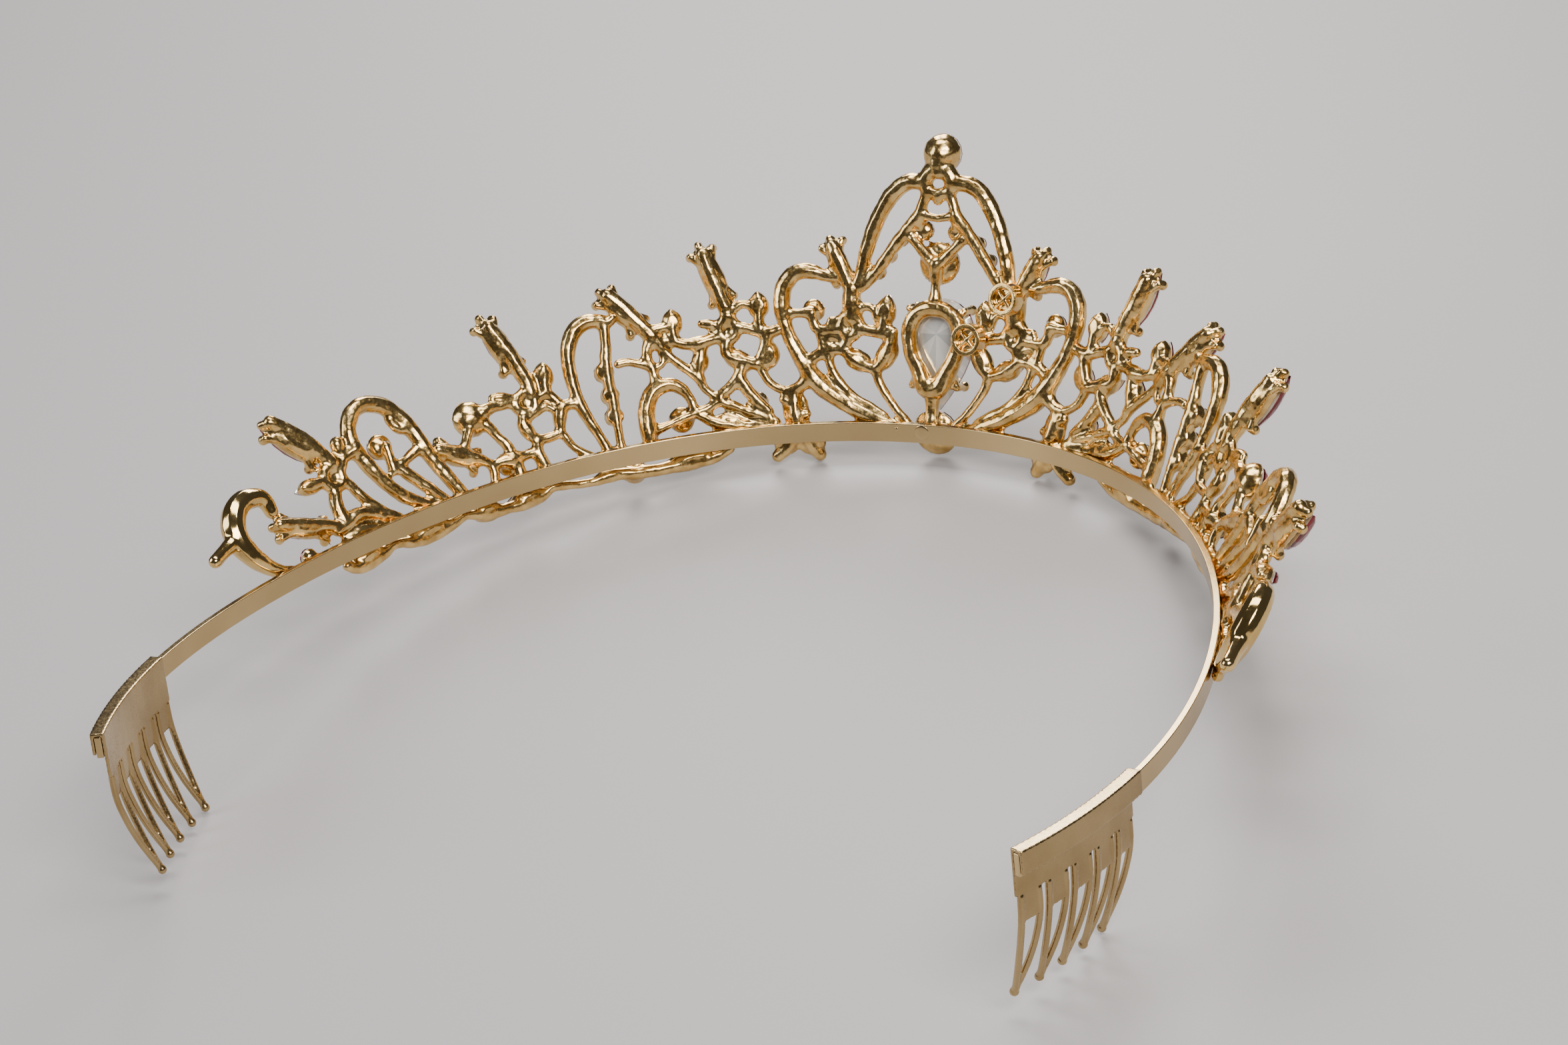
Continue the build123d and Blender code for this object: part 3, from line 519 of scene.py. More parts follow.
panels = {
    "inner_scroll": {
        "limbs": [
        [(12.6, 22.9, 1.3), (12.7, 20.5, 1.35), (12.6, 18.6, 1.2)],
        [(12.9, 23.2, 1.1), (13.8, 25.6, 1.15), (15, 28.6, 1.1), (15.4, 29.6, 0.7)],
        [(13.2, 19.2, 0.9), (12, 18.4, 0.8), (11.9, 16.6, 0.8), (12.9, 15.6, 0.75), (14, 16.4, 0.75),
         (14, 18.2, 0.8), (13.2, 19.2, 0.9)],
        [(12, 17, 0.8), (9.8, 16.4, 0.7), (8, 16.2, 0.7), (6.6, 16.4, 0.75)],
        [(8, 16.4, 0.7), (7.8, 18.6, 0.7), (7.6, 20.4, 0.55)],
        [(9, 18.4, 0.4), (9.4, 19.7, 0.4), (10.6, 20.2, 0.4), (11.8, 19.4, 0.45)],
        [(14, 16.9, 0.7), (16, 16.7, 0.65), (17.8, 16.8, 0.7), (18.4, 18, 0.65), (18.6, 19.3, 0.8)],
        [(18.6, 19.3, 0.8), (20.3, 19.3, 0.55), (22.4, 19.3, 0.6)],
        [(14.2, 18.2, 0.5), (15.8, 18, 0.5)],
        [(6.6, 16.4, 0.75), (6.9, 14.2, 0.8), (7.8, 12.2, 0.85), (9.2, 10.7, 0.65)],
        [(9.3, 10.7, 0.6), (11, 11.2, 0.8), (12.8, 12.3, 0.85), (14.1, 13.6, 0.7)],
        [(13.2, 15.6, 0.75), (13.8, 14.2, 0.65), (14.3, 13.6, 0.7)],
        [(14.2, 13.6, 0.7), (16.4, 13.4, 0.65), (18.2, 12.7, 0.75), (19.6, 11.8, 0.9)],
        [(14, 14.6, 0.4), (15.2, 15.5, 0.4), (16.6, 15.3, 0.4), (16.4, 14.4, 0.35)],
        [(17.6, 16.5, 0.6), (17.4, 15, 0.5), (17.1, 13.6, 0.5)],
        [(9.2, 10.6, 0.6), (8.7, 8.9, 0.5), (7.3, 6.4, 0.48), (5.4, 4, 0.45), (3.9, 2.4, 0.5)],
        [(16.4, 12.6, 0.6), (15.9, 10.6, 0.5), (14.2, 7.9, 0.5), (12, 5.9, 0.5), (9.6, 4.6, 0.5),
         (7.8, 3.4, 0.5)],
        [(14.8, 24.6, 0.6), (16.4, 24.9, 0.75), (18.2, 25.5, 1), (20.2, 25.6, 1.15), (21.9, 24.2, 1.2),
         (22.8, 21.8, 1.2), (22.8, 19.2, 1.1), (22.4, 16.8, 1), (21.4, 14.2, 1.05), (20.2, 11.8, 1.2),
         (18.9, 9.6, 1.45), (16.9, 7.5, 1.4), (14, 5.5, 1.2), (10.8, 3.7, 1.15), (8, 2.6, 0.9), (6, 2.1, 0.6)],
        [(19.6, 9.6, 1.1), (20.6, 8.4, 0.9), (21.8, 7.8, 0.75), (23.4, 7.6, 0.6)],
        [(21.9, 7.6, 0.7), (22, 5.6, 0.9), (21.7, 3.4, 1.1), (21.3, 1.6, 1)],
        [(22, 5.4, 0.7), (23.4, 6.4, 0.75)],
        [(21.7, 3.6, 0.7), (20.2, 4, 0.6)],
        [(21.3, 1.8, 1), (20.3, -0.2, 0.95), (19.3, -1.8, 0.95), (18.6, -2.9, 0.85)],
        [(21.3, 1.8, 0.95), (22.6, -0.2, 0.8), (24, -1.8, 0.85), (25.2, -2.7, 0.8)],
        ],
        "hubs": [(13.1, 17.4, 1.7), (14.2, 13.6, 0.9), (20.3, 4.0, 0.9), (23.4, 6.4, 1.0)],
        "plates": [(22.5, 8.4, 21.2, 0.8, 4.4), (21.0, 2.0, 18.9, -3.1, 4.4), (22.2, 1.8, 25.0, -2.9, 4.0)],
        "sticks": {"marquise": [(13.4, 23.4, 15.8, 30.4, 2.5)]},
        "leaves": [(8.1, 16.9, 7.4, 22.0, 2.3), (6.3, 15.4, 9.0, 10.3, 2.3), (9.8, 10.7, 14.2, 13.2, 2.3),
                   (20.5, 1.6, 18.8, -3.1, 2.8)],
        "cups": [(18.5, 19.6, 1.7)],
    },
    "vine_panel": {
        "limbs": [
        [(23.6, 17, 0.8), (25.2, 16.6, 0.85), (26.6, 16.9, 0.7), (28.6, 17.6, 0.7), (29.6, 17.9, 0.8)],
        [(26.3, 17.2, 0.7), (26.3, 19.4, 0.7), (26.2, 21.4, 0.5)],
        [(27.2, 20.6, 0.45), (28.6, 21.2, 0.45), (29.6, 20.6, 0.6)],
        [(30.9, 20.8, 1.1), (31.6, 23.2, 1.15), (32.5, 26.4, 1.15), (33.1, 29, 1)],
        [(30.8, 19.6, 1.1), (30, 18.2, 0.7), (29.9, 16.8, 0.7), (30.8, 16, 0.7), (31.9, 16.6, 0.7),
         (31.9, 18, 0.7), (31, 19.2, 0.9)],
        [(32.2, 18.2, 0.5), (33.4, 18.5, 0.7), (34.5, 18.7, 0.5)],
        [(31.9, 16.4, 0.75), (33.6, 16.2, 0.7), (35.3, 15.9, 1), (37.2, 16, 0.75), (38.6, 16.5, 0.7)],
        [(38.8, 16.6, 0.7), (38.7, 18.6, 0.7), (38.6, 20.2, 0.5)],
        [(38.9, 18.9, 0.5), (41, 18.8, 0.7), (41.9, 18.4, 0.8)],
        [(39.4, 16.6, 0.5), (40.6, 17.1, 0.5), (41.8, 17.5, 0.7)],
        [(41.9, 17.8, 1.1), (43.6, 20.3, 1.1), (45.4, 22.9, 1.1), (46.8, 24.6, 1)],
        [(41.6, 17.6, 0.9), (40.4, 15.4, 0.6), (38.6, 13.2, 0.55), (37, 11.7, 0.55), (36, 10.8, 0.7),
         (35.4, 9.2, 0.5), (34.2, 8, 0.5), (33.2, 7.3, 0.6)],
        [(34.9, 15.6, 0.7), (35.4, 13.4, 0.8), (36, 11.2, 0.7)],
        [(42.2, 17.2, 0.8), (43, 15.2, 0.65), (42.6, 12.8, 0.6), (42.3, 10.6, 0.9)],
        [(40.9, 15.4, 0.35), (41, 13.6, 0.35), (42.4, 13, 0.35)],
        [(37.4, 6.3, 0.5), (37.9, 8.2, 0.6), (39.2, 9.8, 0.85), (41, 10.4, 1.05), (43, 9.8, 1.15),
         (44.3, 8, 1.2), (44.9, 5.6, 1.2), (45, 3.2, 1.15), (45, 1.6, 0.85)],
        [(42.9, 13.4, 0.55), (44.6, 14.2, 0.5), (46.6, 14.6, 0.5), (47.4, 14.5, 0.5)],
        [(36.8, 5.6, 0.5), (39, 5.3, 0.5), (41.4, 4.6, 0.5), (43.8, 4, 0.6)],
        [(25.4, 15.8, 0.8), (26, 13.9, 0.8), (26.8, 12, 0.75)],
        [(26.9, 11.8, 0.8), (29.2, 12.6, 0.8), (31.4, 13.8, 0.8), (31.4, 15.6, 0.8)],
        [(26.8, 11.6, 0.6), (26, 9.8, 0.5), (24.8, 8.4, 0.5), (23.4, 7.7, 0.6)],
        [(29.2, 12.4, 0.7), (29.6, 11.2, 0.8), (30.4, 10, 0.8), (31.6, 8.8, 0.7), (33.1, 7.3, 0.7),
         (31.2, 6, 0.6), (28.8, 4.9, 0.6), (26.6, 4, 0.7), (25.2, 3, 0.8)],
        [(30, 10.2, 0.8), (29, 8.2, 0.85), (27.6, 6.4, 0.8), (26, 4.6, 0.75)],
        [(33.1, 7.3, 0.6), (35, 6.2, 0.55), (36.8, 5.7, 0.55)],
        [(25.2, 2.6, 0.85), (28.4, 2.6, 0.8), (31.2, 3, 0.85), (34, 3.7, 0.85), (36.6, 5.2, 0.6)],
        ],
        "hubs": [(30.9, 17.6, 1.8), (41.4, 17.8, 1.5), (26.8, 11.8, 1.0), (33.1, 7.3, 0.9)],
        "sticks": {"marquise": [(30.8, 21.0, 33.6, 30.4, 3.0), (42.8, 18.8, 47.7, 25.4, 3.0)]},
        "leaves": [(26.3, 18.4, 26.2, 22.9, 2.3), (38.8, 17.2, 38.5, 21.5, 2.3), (24.4, 15.0, 26.3, 10.9, 2.3),
                   (27.6, 11.4, 32.0, 14.2, 2.3), (34.9, 15.0, 36.1, 11.2, 2.0), (28.6, 2.6, 35.0, 4.4, 2.2)],
        "cups": [(39.4, 5.0, 1.9), (27.4, 6.3, 1.4)],
    },
    "hook_panel": {
        "limbs": [
        [(46.8, 21.3, 0.7), (47.4, 20.9, 0.75), (48.8, 21.2, 0.95), (50.6, 21.3, 1.1), (52.4, 20.4, 1.15),
         (53.8, 18.4, 1.1), (54.5, 15.6, 0.95), (54.6, 12.6, 0.85), (54.4, 10, 0.85), (53.5, 7, 0.7),
         (52.4, 4.2, 0.6), (51.8, 2.2, 0.7)],
        [(48.2, 20.8, 0.8), (48.5, 18, 0.7), (49, 15.6, 0.75), (49.3, 13, 0.8), (49.3, 9.6, 0.75),
         (49.5, 6.4, 0.6), (49.6, 4, 0.5), (49.7, 2.2, 0.5)],
        [(49.7, 2.2, 0.5), (51.6, 2.2, 0.6)],
        [(54.6, 10, 0.7), (56.4, 10.2, 0.8), (57.4, 9.6, 1), (58, 8.2, 0.95), (58.4, 6.8, 0.6)],
        [(58.9, 12.7, 0.8), (58.5, 14.6, 0.85), (58.2, 16, 0.7)],
        [(57.4, 10.4, 0.6), (58, 11.6, 0.6), (58.9, 12.6, 0.7)],
        [(61.5, 15.8, 1.1), (61.2, 14.8, 1), (61, 12.8, 0.9)],
        [(61.4, 15.6, 1.1), (62.3, 18.6, 1.15), (63.3, 21.4, 1.1), (64, 23.4, 0.9)],
        [(61.4, 13.6, 0.7), (61, 12.8, 0.7), (61, 11.2, 0.6), (62, 10.4, 0.6), (63.4, 10.9, 0.7),
         (63.8, 12.2, 0.7), (62.6, 13.2, 0.5), (61.4, 13.6, 0.6)],
        [(58.9, 12.7, 0.6), (60.8, 12.2, 0.6)],
        [(58.4, 6.6, 0.6), (60.4, 6.3, 0.55), (62.4, 6.6, 0.65), (63.4, 8, 0.95), (63.6, 9.4, 0.8),
         (62.6, 10.4, 0.6)],
        [(58.2, 9.8, 0.5), (59.6, 10.6, 0.5), (61, 10.2, 0.5), (62.4, 9.8, 0.6)],
        [(58.3, 6.6, 0.5), (57.4, 4.7, 0.45), (56, 3.1, 0.45), (54.6, 2.2, 0.5)],
        [(62.4, 6.4, 0.6), (62.8, 4.4, 0.8), (62.4, 2.2, 0.85)],
        [(63.8, 12.4, 0.65), (65.6, 12.3, 0.6), (67.6, 12.4, 0.75), (69.4, 12.2, 1)],
        [(64.2, 13, 0.45), (65.6, 13.5, 0.55), (67, 13.7, 0.4)],
        [(69.4, 10.4, 0.7), (68.9, 9.6, 0.7), (68.2, 8.2, 0.6), (67.2, 6.4, 0.7), (67.2, 5.4, 0.8)],
        [(63, 4.8, 0.6), (65.6, 4.8, 0.7), (67.4, 4.6, 1.2), (69.4, 4.9, 0.7), (70.8, 4.6, 0.6)],
        [(66.8, 4.4, 0.9), (66.8, 2.2, 0.8)],
        [(72.2, 10.4, 0.6), (73.6, 8.8, 0.6), (74.4, 7.6, 0.7), (72.6, 6.2, 0.6), (70.9, 4.8, 0.6),
         (71.3, 2.2, 0.5)],
        [(72, 5.8, 0.8), (75.2, 7.6, 0.9), (78.2, 9.2, 0.8)],
        ],
        "hubs": [(62.3, 12.0, 1.8), (57.6, 9.4, 1.2), (61.2, 14.6, 1.2)],
        "sticks": {"marquise": [(61.8, 16.2, 64.5, 25.0, 3.0), (71.8, 5.6, 78.8, 9.6, 2.6)]},
        "leaves": [(58.8, 12.8, 58.1, 17.0, 2.3)],
        "cups": [(67.4, 4.4, 1.9)],
        "beads": [(49.5, 13.7, 1.5), (49.4, 10.3, 1.4), (49.5, 7.2, 1.4)],
        "ball": (71.0, 11.9, 2.7),
    },
    "loop_panel": {
        "limbs": [
        [(77, 1.9, 0.85), (78.4, 5, 0.95), (79.8, 8.4, 1), (80.8, 12, 1.05), (82.2, 15.4, 1.15),
         (84.6, 17.8, 1.15), (87.6, 18.5, 1.15), (90, 17.2, 1.15), (91.2, 14.6, 1.1), (90.6, 11.4, 1.05),
         (89.2, 8.2, 1), (87.2, 5.2, 0.9), (86, 4, 0.7)],
        [(81, 10.2, 0.7), (82.4, 9.9, 0.7), (84, 9.4, 0.6), (86.2, 8.8, 0.7)],
        [(82, 13.4, 0.7), (83, 13.8, 0.6), (83.8, 15.4, 0.6)],
        [(80.2, 2, 0.7), (82.6, 5, 0.8), (84.6, 7.4, 0.8), (86, 9, 0.7)],
        [(82.6, 2, 0.7), (85, 3.6, 0.7), (87, 5.2, 0.7)],
        [(86.2, 12, 0.7), (86.4, 10.4, 0.6), (86.6, 8.6, 0.7)],
        [(91.4, 13.2, 1.3), (93.4, 12.8, 0.75), (95, 11.6, 0.8)],
        [(93.8, 12.9, 0.6), (93.7, 14.9, 0.95)],
        [(95.4, 10.6, 0.6), (94.8, 9.4, 0.6), (93.4, 6.6, 0.7), (91.4, 4, 0.7), (89.2, 2.2, 0.8)],
        [(95.9, 12.6, 1), (98, 16.2, 1.15), (100.4, 19.2, 1.1), (102.2, 21, 0.9)],
        [(96.6, 12.4, 0.7), (95.4, 11.6, 0.7), (95.6, 10, 0.7), (97, 9.4, 0.7), (98.2, 10.2, 0.7),
         (98, 11.8, 0.7), (96.6, 12.4, 0.7)],
        [(98.2, 10.8, 0.6), (100.6, 11, 0.8), (102.2, 11.2, 0.5)],
        [(97.4, 9.4, 0.8), (98.3, 7.4, 0.9), (98.4, 5, 1)],
        [(91.6, 3.4, 0.7), (94, 4.6, 0.9), (96, 5, 0.9), (98.4, 4.4, 1), (100.2, 4.2, 0.8)],
        [(93.4, 2, 0.85), (96.4, 2.8, 0.9), (99.4, 2.2, 0.85)],
        [(100, 4.6, 0.8), (103.4, 6, 0.95), (106.8, 7.3, 0.95), (109.2, 8.2, 0.8)],
        ],
        "hubs": [(96.7, 10.9, 1.8), (97.8, 4.2, 1.4), (86.4, 8.6, 1.1)],
        "sticks": {"marquise": [(96.8, 13.4, 103.0, 21.2, 3.0), (100.6, 4.6, 109.8, 8.3, 2.6)]},
        "leaves": [(98.8, 10.9, 102.9, 11.2, 1.8)],
        "cups": [(86.4, 12.4, 1.9), (95.6, 4.6, 1.6)],
    },
    "end_scroll": {
        "limbs": [
        [(109.4, 10.2, 0.9), (109.7, 12.1, 1.15), (111.5, 13, 1.4), (114.1, 12.9, 1.6), (116.5, 11.3, 1.75),
         (117.4, 9.1, 1.7), (116.9, 6.9, 1.5), (115.4, 4.5, 1.2), (113.3, 2.7, 0.85), (111.2, 1.9, 0.7)],
        [(117.6, 9.1, 1.3), (120.5, 8.6, 0.9), (123.2, 8, 0.85)],
        ],
        "sticks": {}, "leaves": [],
        "cups": [(106.4, 2.0, 1.3)], "cupNode": "end",
    },
    "lower_border": {
        "limbs": [
        [(32.6, -0.6, 0.5), (35, -1.6, 0.8), (38.4, -2.1, 0.9), (41.6, -2.3, 0.9), (44.4, -2.3, 0.8),
         (47.7, -2.2, 0.9), (50.5, -1.8, 0.8), (53, -1.7, 0.9), (54.6, -2, 0.6), (57.2, -1.9, 0.5),
         (60, -1.4, 0.5), (61.8, -1.2, 0.6), (63.6, -1.9, 0.8), (66.4, -2.5, 0.9), (69, -2.4, 0.8),
         (71.8, -2.4, 0.8), (74.6, -2, 0.75), (77.4, -1.3, 0.6), (80.4, -1.9, 0.8), (84, -2.5, 0.9),
         (87.6, -2.2, 0.8), (91, -1.4, 0.6), (93.4, -2.1, 0.8), (96.4, -2.7, 0.95), (99, -2.3, 0.8),
         (100.4, -1.6, 0.6)],
        ],
        "sticks": {},
        "leaves": [(34.0, -1.1, 43.6, -2.4, 2.4), (62.4, -1.6, 69.4, -2.5, 2.4), (70.2, -2.5, 76.4, -1.4, 2.4),
                   (79.0, -1.8, 89.0, -1.8, 2.4), (92.4, -1.7, 99.6, -2.0, 2.6)],
        "cups": [(47.8, -2.4, 1.9)],
    },
}
rails = {"inner_scroll": (3.4, 24.4), "vine_panel": (25.8, 46.0), "hook_panel": (48.0, 75.0),
         "loop_panel": (77.0, 102.0), "end_scroll": (104.0, 114.0)}


# how far each seat reaches past its stone, and its claws, in stone lengths and widths or in millimetres
seats = {
    "stick": {"long": 0.98, "wide": 1.30, "back": -1.05, "lip": 0.15, "clawAlong": 0.39, "clawAcross": 0.30,
              "clawOut": 1.0, "clawTop": 1.5, "clawRadius": 0.58, "tipTop": 1.2, "tipRadius": 0.55},
    "leaf": {"long": 1.04, "wide": 1.48, "back": -0.95, "lip": 0.1},
    "plate": {"back": -0.75, "front": 0.75},
    "cup": {"wide": 1.12, "deep": 0.85, "lip": 0.05},
    "bead": {"deep": 1.25, "ball": 1.2, "ballDeep": 1.1, "ballOut": 0.2},
}


def addStickSeat(bm, spot, grow):
    seat = seats["stick"]
    place, length = longSeat(*spot[:4])
    width = spot[4]
    addNavette(bm, place, length * seat["long"] + grow, width * seat["wide"] + grow, seat["back"],
               band["seatHigh"] + seat["lip"])
    x = seat["clawAlong"] * length
    y = seat["clawAcross"] * width + seat["clawOut"]
    for sx in (-1, 1):
        for sy in (-1, 1):
            addClaw(bm, place, sx * x, sy * y, seat["clawTop"], seat["clawRadius"] + grow / 2)
    addClaw(bm, place, 0.5 * length, 0, seat["tipTop"], seat["tipRadius"] + grow / 2, 0.8)


def addLeafSeat(bm, spot, grow):
    seat = seats["leaf"]
    place, length = longSeat(*spot[:4])
    addNavette(bm, place, length * seat["long"] + grow, spot[4] * seat["wide"] + grow, seat["back"],
               band["seatHigh"] + seat["lip"])


def addLeafPlate(bm, spot, grow):
    place, length = longSeat(*spot[:4])
    addNavette(bm, place, length + grow, spot[4] + grow, seats["plate"]["back"], seats["plate"]["front"])


def addCupSeat(bm, spot, grow, deep=seats["cup"]["deep"], wide=seats["cup"]["wide"]):
    s, h, r = spot
    place = roundSeat(s, h)
    across, depth = r * wide + grow / 2, r * deep + grow / 2
    mouth = band["seatHigh"] + seats["cup"]["lip"]
    made = bmesh.ops.create_icosphere(bm, subdivisions=3, radius=1.0)
    for v in made["verts"]:
        v.co = Vector((v.co.x * across, v.co.y * across, mouth + min(v.co.z, 0.0) * depth))
    bmesh.ops.transform(bm, matrix=place, verts=made["verts"])


def addBeadSeat(bm, spot, grow):
    # a bead's cup, round behind as well
    seat = seats["bead"]
    addCupSeat(bm, spot, grow, seat["deep"])
    s, h, r = spot
    ball = (r * seat["ball"], r * seat["ball"], seat["ballDeep"])
    addEllipsoid(bm, roundSeat(s, h), Vector((0, 0, seat["ballOut"])), ball)


def railStroke(s0, s1):
    count = max(1, round((s1 - s0) / 4))
    return [(s0 + (s1 - s0) * i / count, 1.7, 0.62) for i in range(count + 1)]


def stonePiece(name, nodes, fill, flip=False):
    bm = bmesh.new()
    fill(bm)
    mesh = bpy.data.meshes.new(name)
    bm.to_mesh(mesh)
    bm.free()
    if flip:
        mesh = mirroredMesh(mesh, name)
    return keepPiece(name, mesh, [redGlass, silverFoil], nodes, smooth=False)


# pavilion, girdle and crown heights; a round cut's pavilion and crown are in radii
cuts = {"stick": (0.5, 0.35, 0.75), "leaf": (0.3, 0.25, 0.5), "round": (0.25, 0.3, 0.3),
        "domed": (0.3, 0.3, 0.34)}


def longStones(spots, cut):
    def fill(bm):
        for spot in spots:
            place, length = longSeat(*spot[:4])
            addStone(bm, place, navetteOutline(length, spot[4]), band["seatHigh"], *cuts[cut], 0.6, 0.6)
    return fill


def roundStones(spots):
    pavilion, girdle, crown = cuts["round"]

    def fill(bm):
        for s, h, r in spots:
            addStone(bm, roundSeat(s, h), circleOutline(r), band["seatHigh"], pavilion * r, girdle, crown * r)
    return fill


def domedStone(spot):
    pavilion, girdle, crown = cuts["domed"]

    def fill(bm):
        s, h, r = spot
        outline = circleOutline(0.94 * r)
        addStone(bm, roundSeat(s, h), outline, band["seatHigh"], pavilion, girdle, crown * r, 0.7)
    return fill


# side panels, the +X side first, then its mirror image
web = casting["web"]
for name, panel in panels.items():
    strokes = list(panel["limbs"])
    if name in rails:
        strokes.append(railStroke(*rails[name]))
    bm = strokesToMesh(strokes, web)
    for spots in panel["sticks"].values():
        for spot in spots:
            addStickSeat(bm, spot, web)
    for spot in panel["leaves"]:
        addLeafSeat(bm, spot, web)
    for spot in panel["cups"]:
        addCupSeat(bm, spot, web)
    for spot in panel.get("beads", []):
        addBeadSeat(bm, spot, web)
    for spot in panel.get("plates", []):
        addLeafPlate(bm, spot, web)
    for s, h, r in panel.get("hubs", []):
        addEllipsoid(bm, roundSeat(s, h), Vector((0, 0, 0.15)), (r, r, 0.75))
    if "ball" in panel:
        addCupSeat(bm, panel["ball"], web, 1.0)
    polished = name == "end_scroll"
    lumps = {"lump": 0.05, "grain": 0.0} if polished else {}
    mesh = castMesh(name, bm, **lumps)
    metal = smoothGold if polished else castGold
    keepPiece(name + "Left", mesh, [metal], [name + "_left"])
    keepPiece(name + "Right", mirroredMesh(mesh, name + "Right"), [metal], [name + "_right"])
    groups = []
    for kind, spots in panel["sticks"].items():
        groups.append((kind, longStones(spots, "stick")))
    if panel["leaves"]:
        groups.append(("leaf", longStones(panel["leaves"], "leaf")))
    if panel["cups"]:
        groups.append((panel.get("cupNode", "round"), roundStones(panel["cups"])))
    if "beads" in panel:
        groups.append(("bead", roundStones(panel["beads"])))
    if "ball" in panel:
        groups.append(("ball", domedStone(panel["ball"])))
    for kind, fill in groups:
        for side, flip in (("Left", False), ("Right", True)):
            node = f"{name}_{kind}_stones_{side.lower()}"
            stonePiece(name + kind.title() + "Stones" + side, [node], fill, flip)
print("side panels made")

# crest: both halves and the spine in one casting
def mirroredInto(bm):
    copy = bm.copy()
    bmesh.ops.transform(copy, matrix=Matrix.Diagonal((-1, 1, 1, 1)), verts=copy.verts)
    bmesh.ops.reverse_faces(copy, faces=copy.faces)
    mesh = bpy.data.meshes.new("half")
    copy.to_mesh(mesh)
    copy.free()
    bm.from_mesh(mesh)
    bpy.data.meshes.remove(mesh)


bm = strokesToMesh(crest["limbs"], web)
for spot in crest["beads"]:
    addCupSeat(bm, spot, web)
mirroredInto(bm)
spine = strokesToMesh(crest["spine"] + [railStroke(-2.6, 2.6)], web)
spineMesh = bpy.data.meshes.new("spine")
spine.to_mesh(spineMesh)
bm.from_mesh(spineMesh)
addCupSeat(bm, crest["top"], web, 1.0, 0.95)
addCupSeat(bm, crest["heart"], web, 0.5)
addCupSeat(bm, crest["drop"], web, 0.40)
keepPiece("crestCasting", castMesh("crestCasting", bm), [castGold], ["crest_casting"])


def crestBeads(bm):
    roundStones(crest["beads"])(bm)
    mirroredInto(bm)


stonePiece("crestBeads", ["crest_beads"], crestBeads)
stonePiece("crestTopStone", ["crest_top_stone"], domedStone(crest["top"]))
stonePiece("heartStone", ["heart_stone"], roundStones([crest["heart"]]))
stonePiece("dropStone", ["drop_stone"], roundStones([crest["drop"]]))

# teardrop: a flat open ring behind the stone, four claws and a faceted stone with a foiled back
pear = crest["pear"]
pearSeat = roundSeat(*pear["centre"])
ring = {"path": [(0, 20.4, 1.15), (2.6, 19.5, 1.1), (3.85, 17.2, 1.1), (3.7, 14.2, 1.1), (2.4, 11.0, 1.2),
                 (0, 7.9, 1.6), (-2.4, 11.0, 1.2), (-3.7, 14.2, 1.1), (-3.85, 17.2, 1.1), (-2.6, 19.5, 1.1)],
        "claws": [(4.75, 3.9), (3.85, -8.4)], "clawReach": 0.8, "clawRadius": 0.85, "clawStart": 0.74}
bm = strokesToMesh([ring["path"]], web, closed=True)
for x, y in ring["claws"]:
    for side in (-1, 1):
        addClaw(bm, pearSeat, side * x, y, pear["girdle"] + ring["clawReach"], ring["clawRadius"],
                ring["clawStart"])
keepPiece("teardropSetting", castMesh("teardropSetting", bm), [castGold], ["teardrop_setting"])


def pearStone(bm):
    addStone(bm, pearSeat, pearOutline(pear["radius"], pear["tip"]), pear["low"],
             pear["girdle"] - pear["low"], 0.6, pear["crown"], 0.55, 0.0)


stonePiece("teardropStone", ["teardrop_stone"], pearStone)

# two tube rivets on the back of the -X side
rivet = {"spots": [(-6.6, 16.2), (-12.2, 22.8)], "radius": 2.2, "wall": 0.42, "back": -3.7, "front": -1.3,
         "floor": -2.5, "cross": -2.9, "crossHalf": (0.4, 0.45), "sides": 24, "voxel": 0.13}
bm = bmesh.new()
for s, h in rivet["spots"]:
    place = roundSeat(s, h)
    r, w, sides = rivet["radius"], rivet["wall"], rivet["sides"]
    inner, outer = circleOutline(r - w, sides), circleOutline(r + w, sides)
    for k in range(sides):
        corners = [outline[i % sides] for outline in (inner, outer) for i in (k, k + 1)]
        addHull(bm, place, [Vector((x, y, z)) for x, y in corners for z in (rivet["back"], rivet["front"])])
    addHull(bm, place, ringPoints(outer, 1, rivet["front"]) + ringPoints(outer, 1, rivet["floor"]))
    for angle in (pi / 4, 3 * pi / 4):
        bar = place @ Matrix.Rotation(angle, 4, "Z")
        addEllipsoid(bm, bar, Vector((0, 0, rivet["cross"])), (r, *rivet["crossHalf"]))
mesh = castMesh("tubeRivets", bm, voxel=rivet["voxel"], shrink=0.02, smoothing=3, lump=0.03, grain=0.0)
keepPiece("tubeRivets", mesh, [castGold], ["tube_rivets"])
print("crest made")


def onBand(s, d, z):
    # a point d out from the strip's inner face and z above its lower edge
    return stand(planPoint(phiAt(s)) + outwardAt(s) * d + Vector((0, 0, z)))


def bandSweep(profile, s0, s1, count, name):
    # a closed section of (d, z) corners carried round the band
    bm = bmesh.new()
    start = [bm.verts.new(onBand(s0, d, z)) for d, z in profile]
    edges = [bm.edges.new((start[i], start[(i + 1) % len(start)])) for i in range(len(start))]
    bm.faces.new(start)
    for k in range(1, count + 1):
        s = s0 + (s1 - s0) * k / count
        made = bmesh.ops.extrude_edge_only(bm, edges=edges)["geom"]
        verts = [g for g in made if isinstance(g, bmesh.types.BMVert)]
        edges = [g for g in made if isinstance(g, bmesh.types.BMEdge)]
        for (d, z), v in zip(profile, verts):
            v.co = onBand(s, d, z)
    bmesh.ops.contextual_create(bm, geom=edges)
    bmesh.ops.recalc_face_normals(bm, faces=bm.faces)
    mesh = bpy.data.meshes.new(name)
    bm.to_mesh(mesh)
    bm.free()
    return mesh


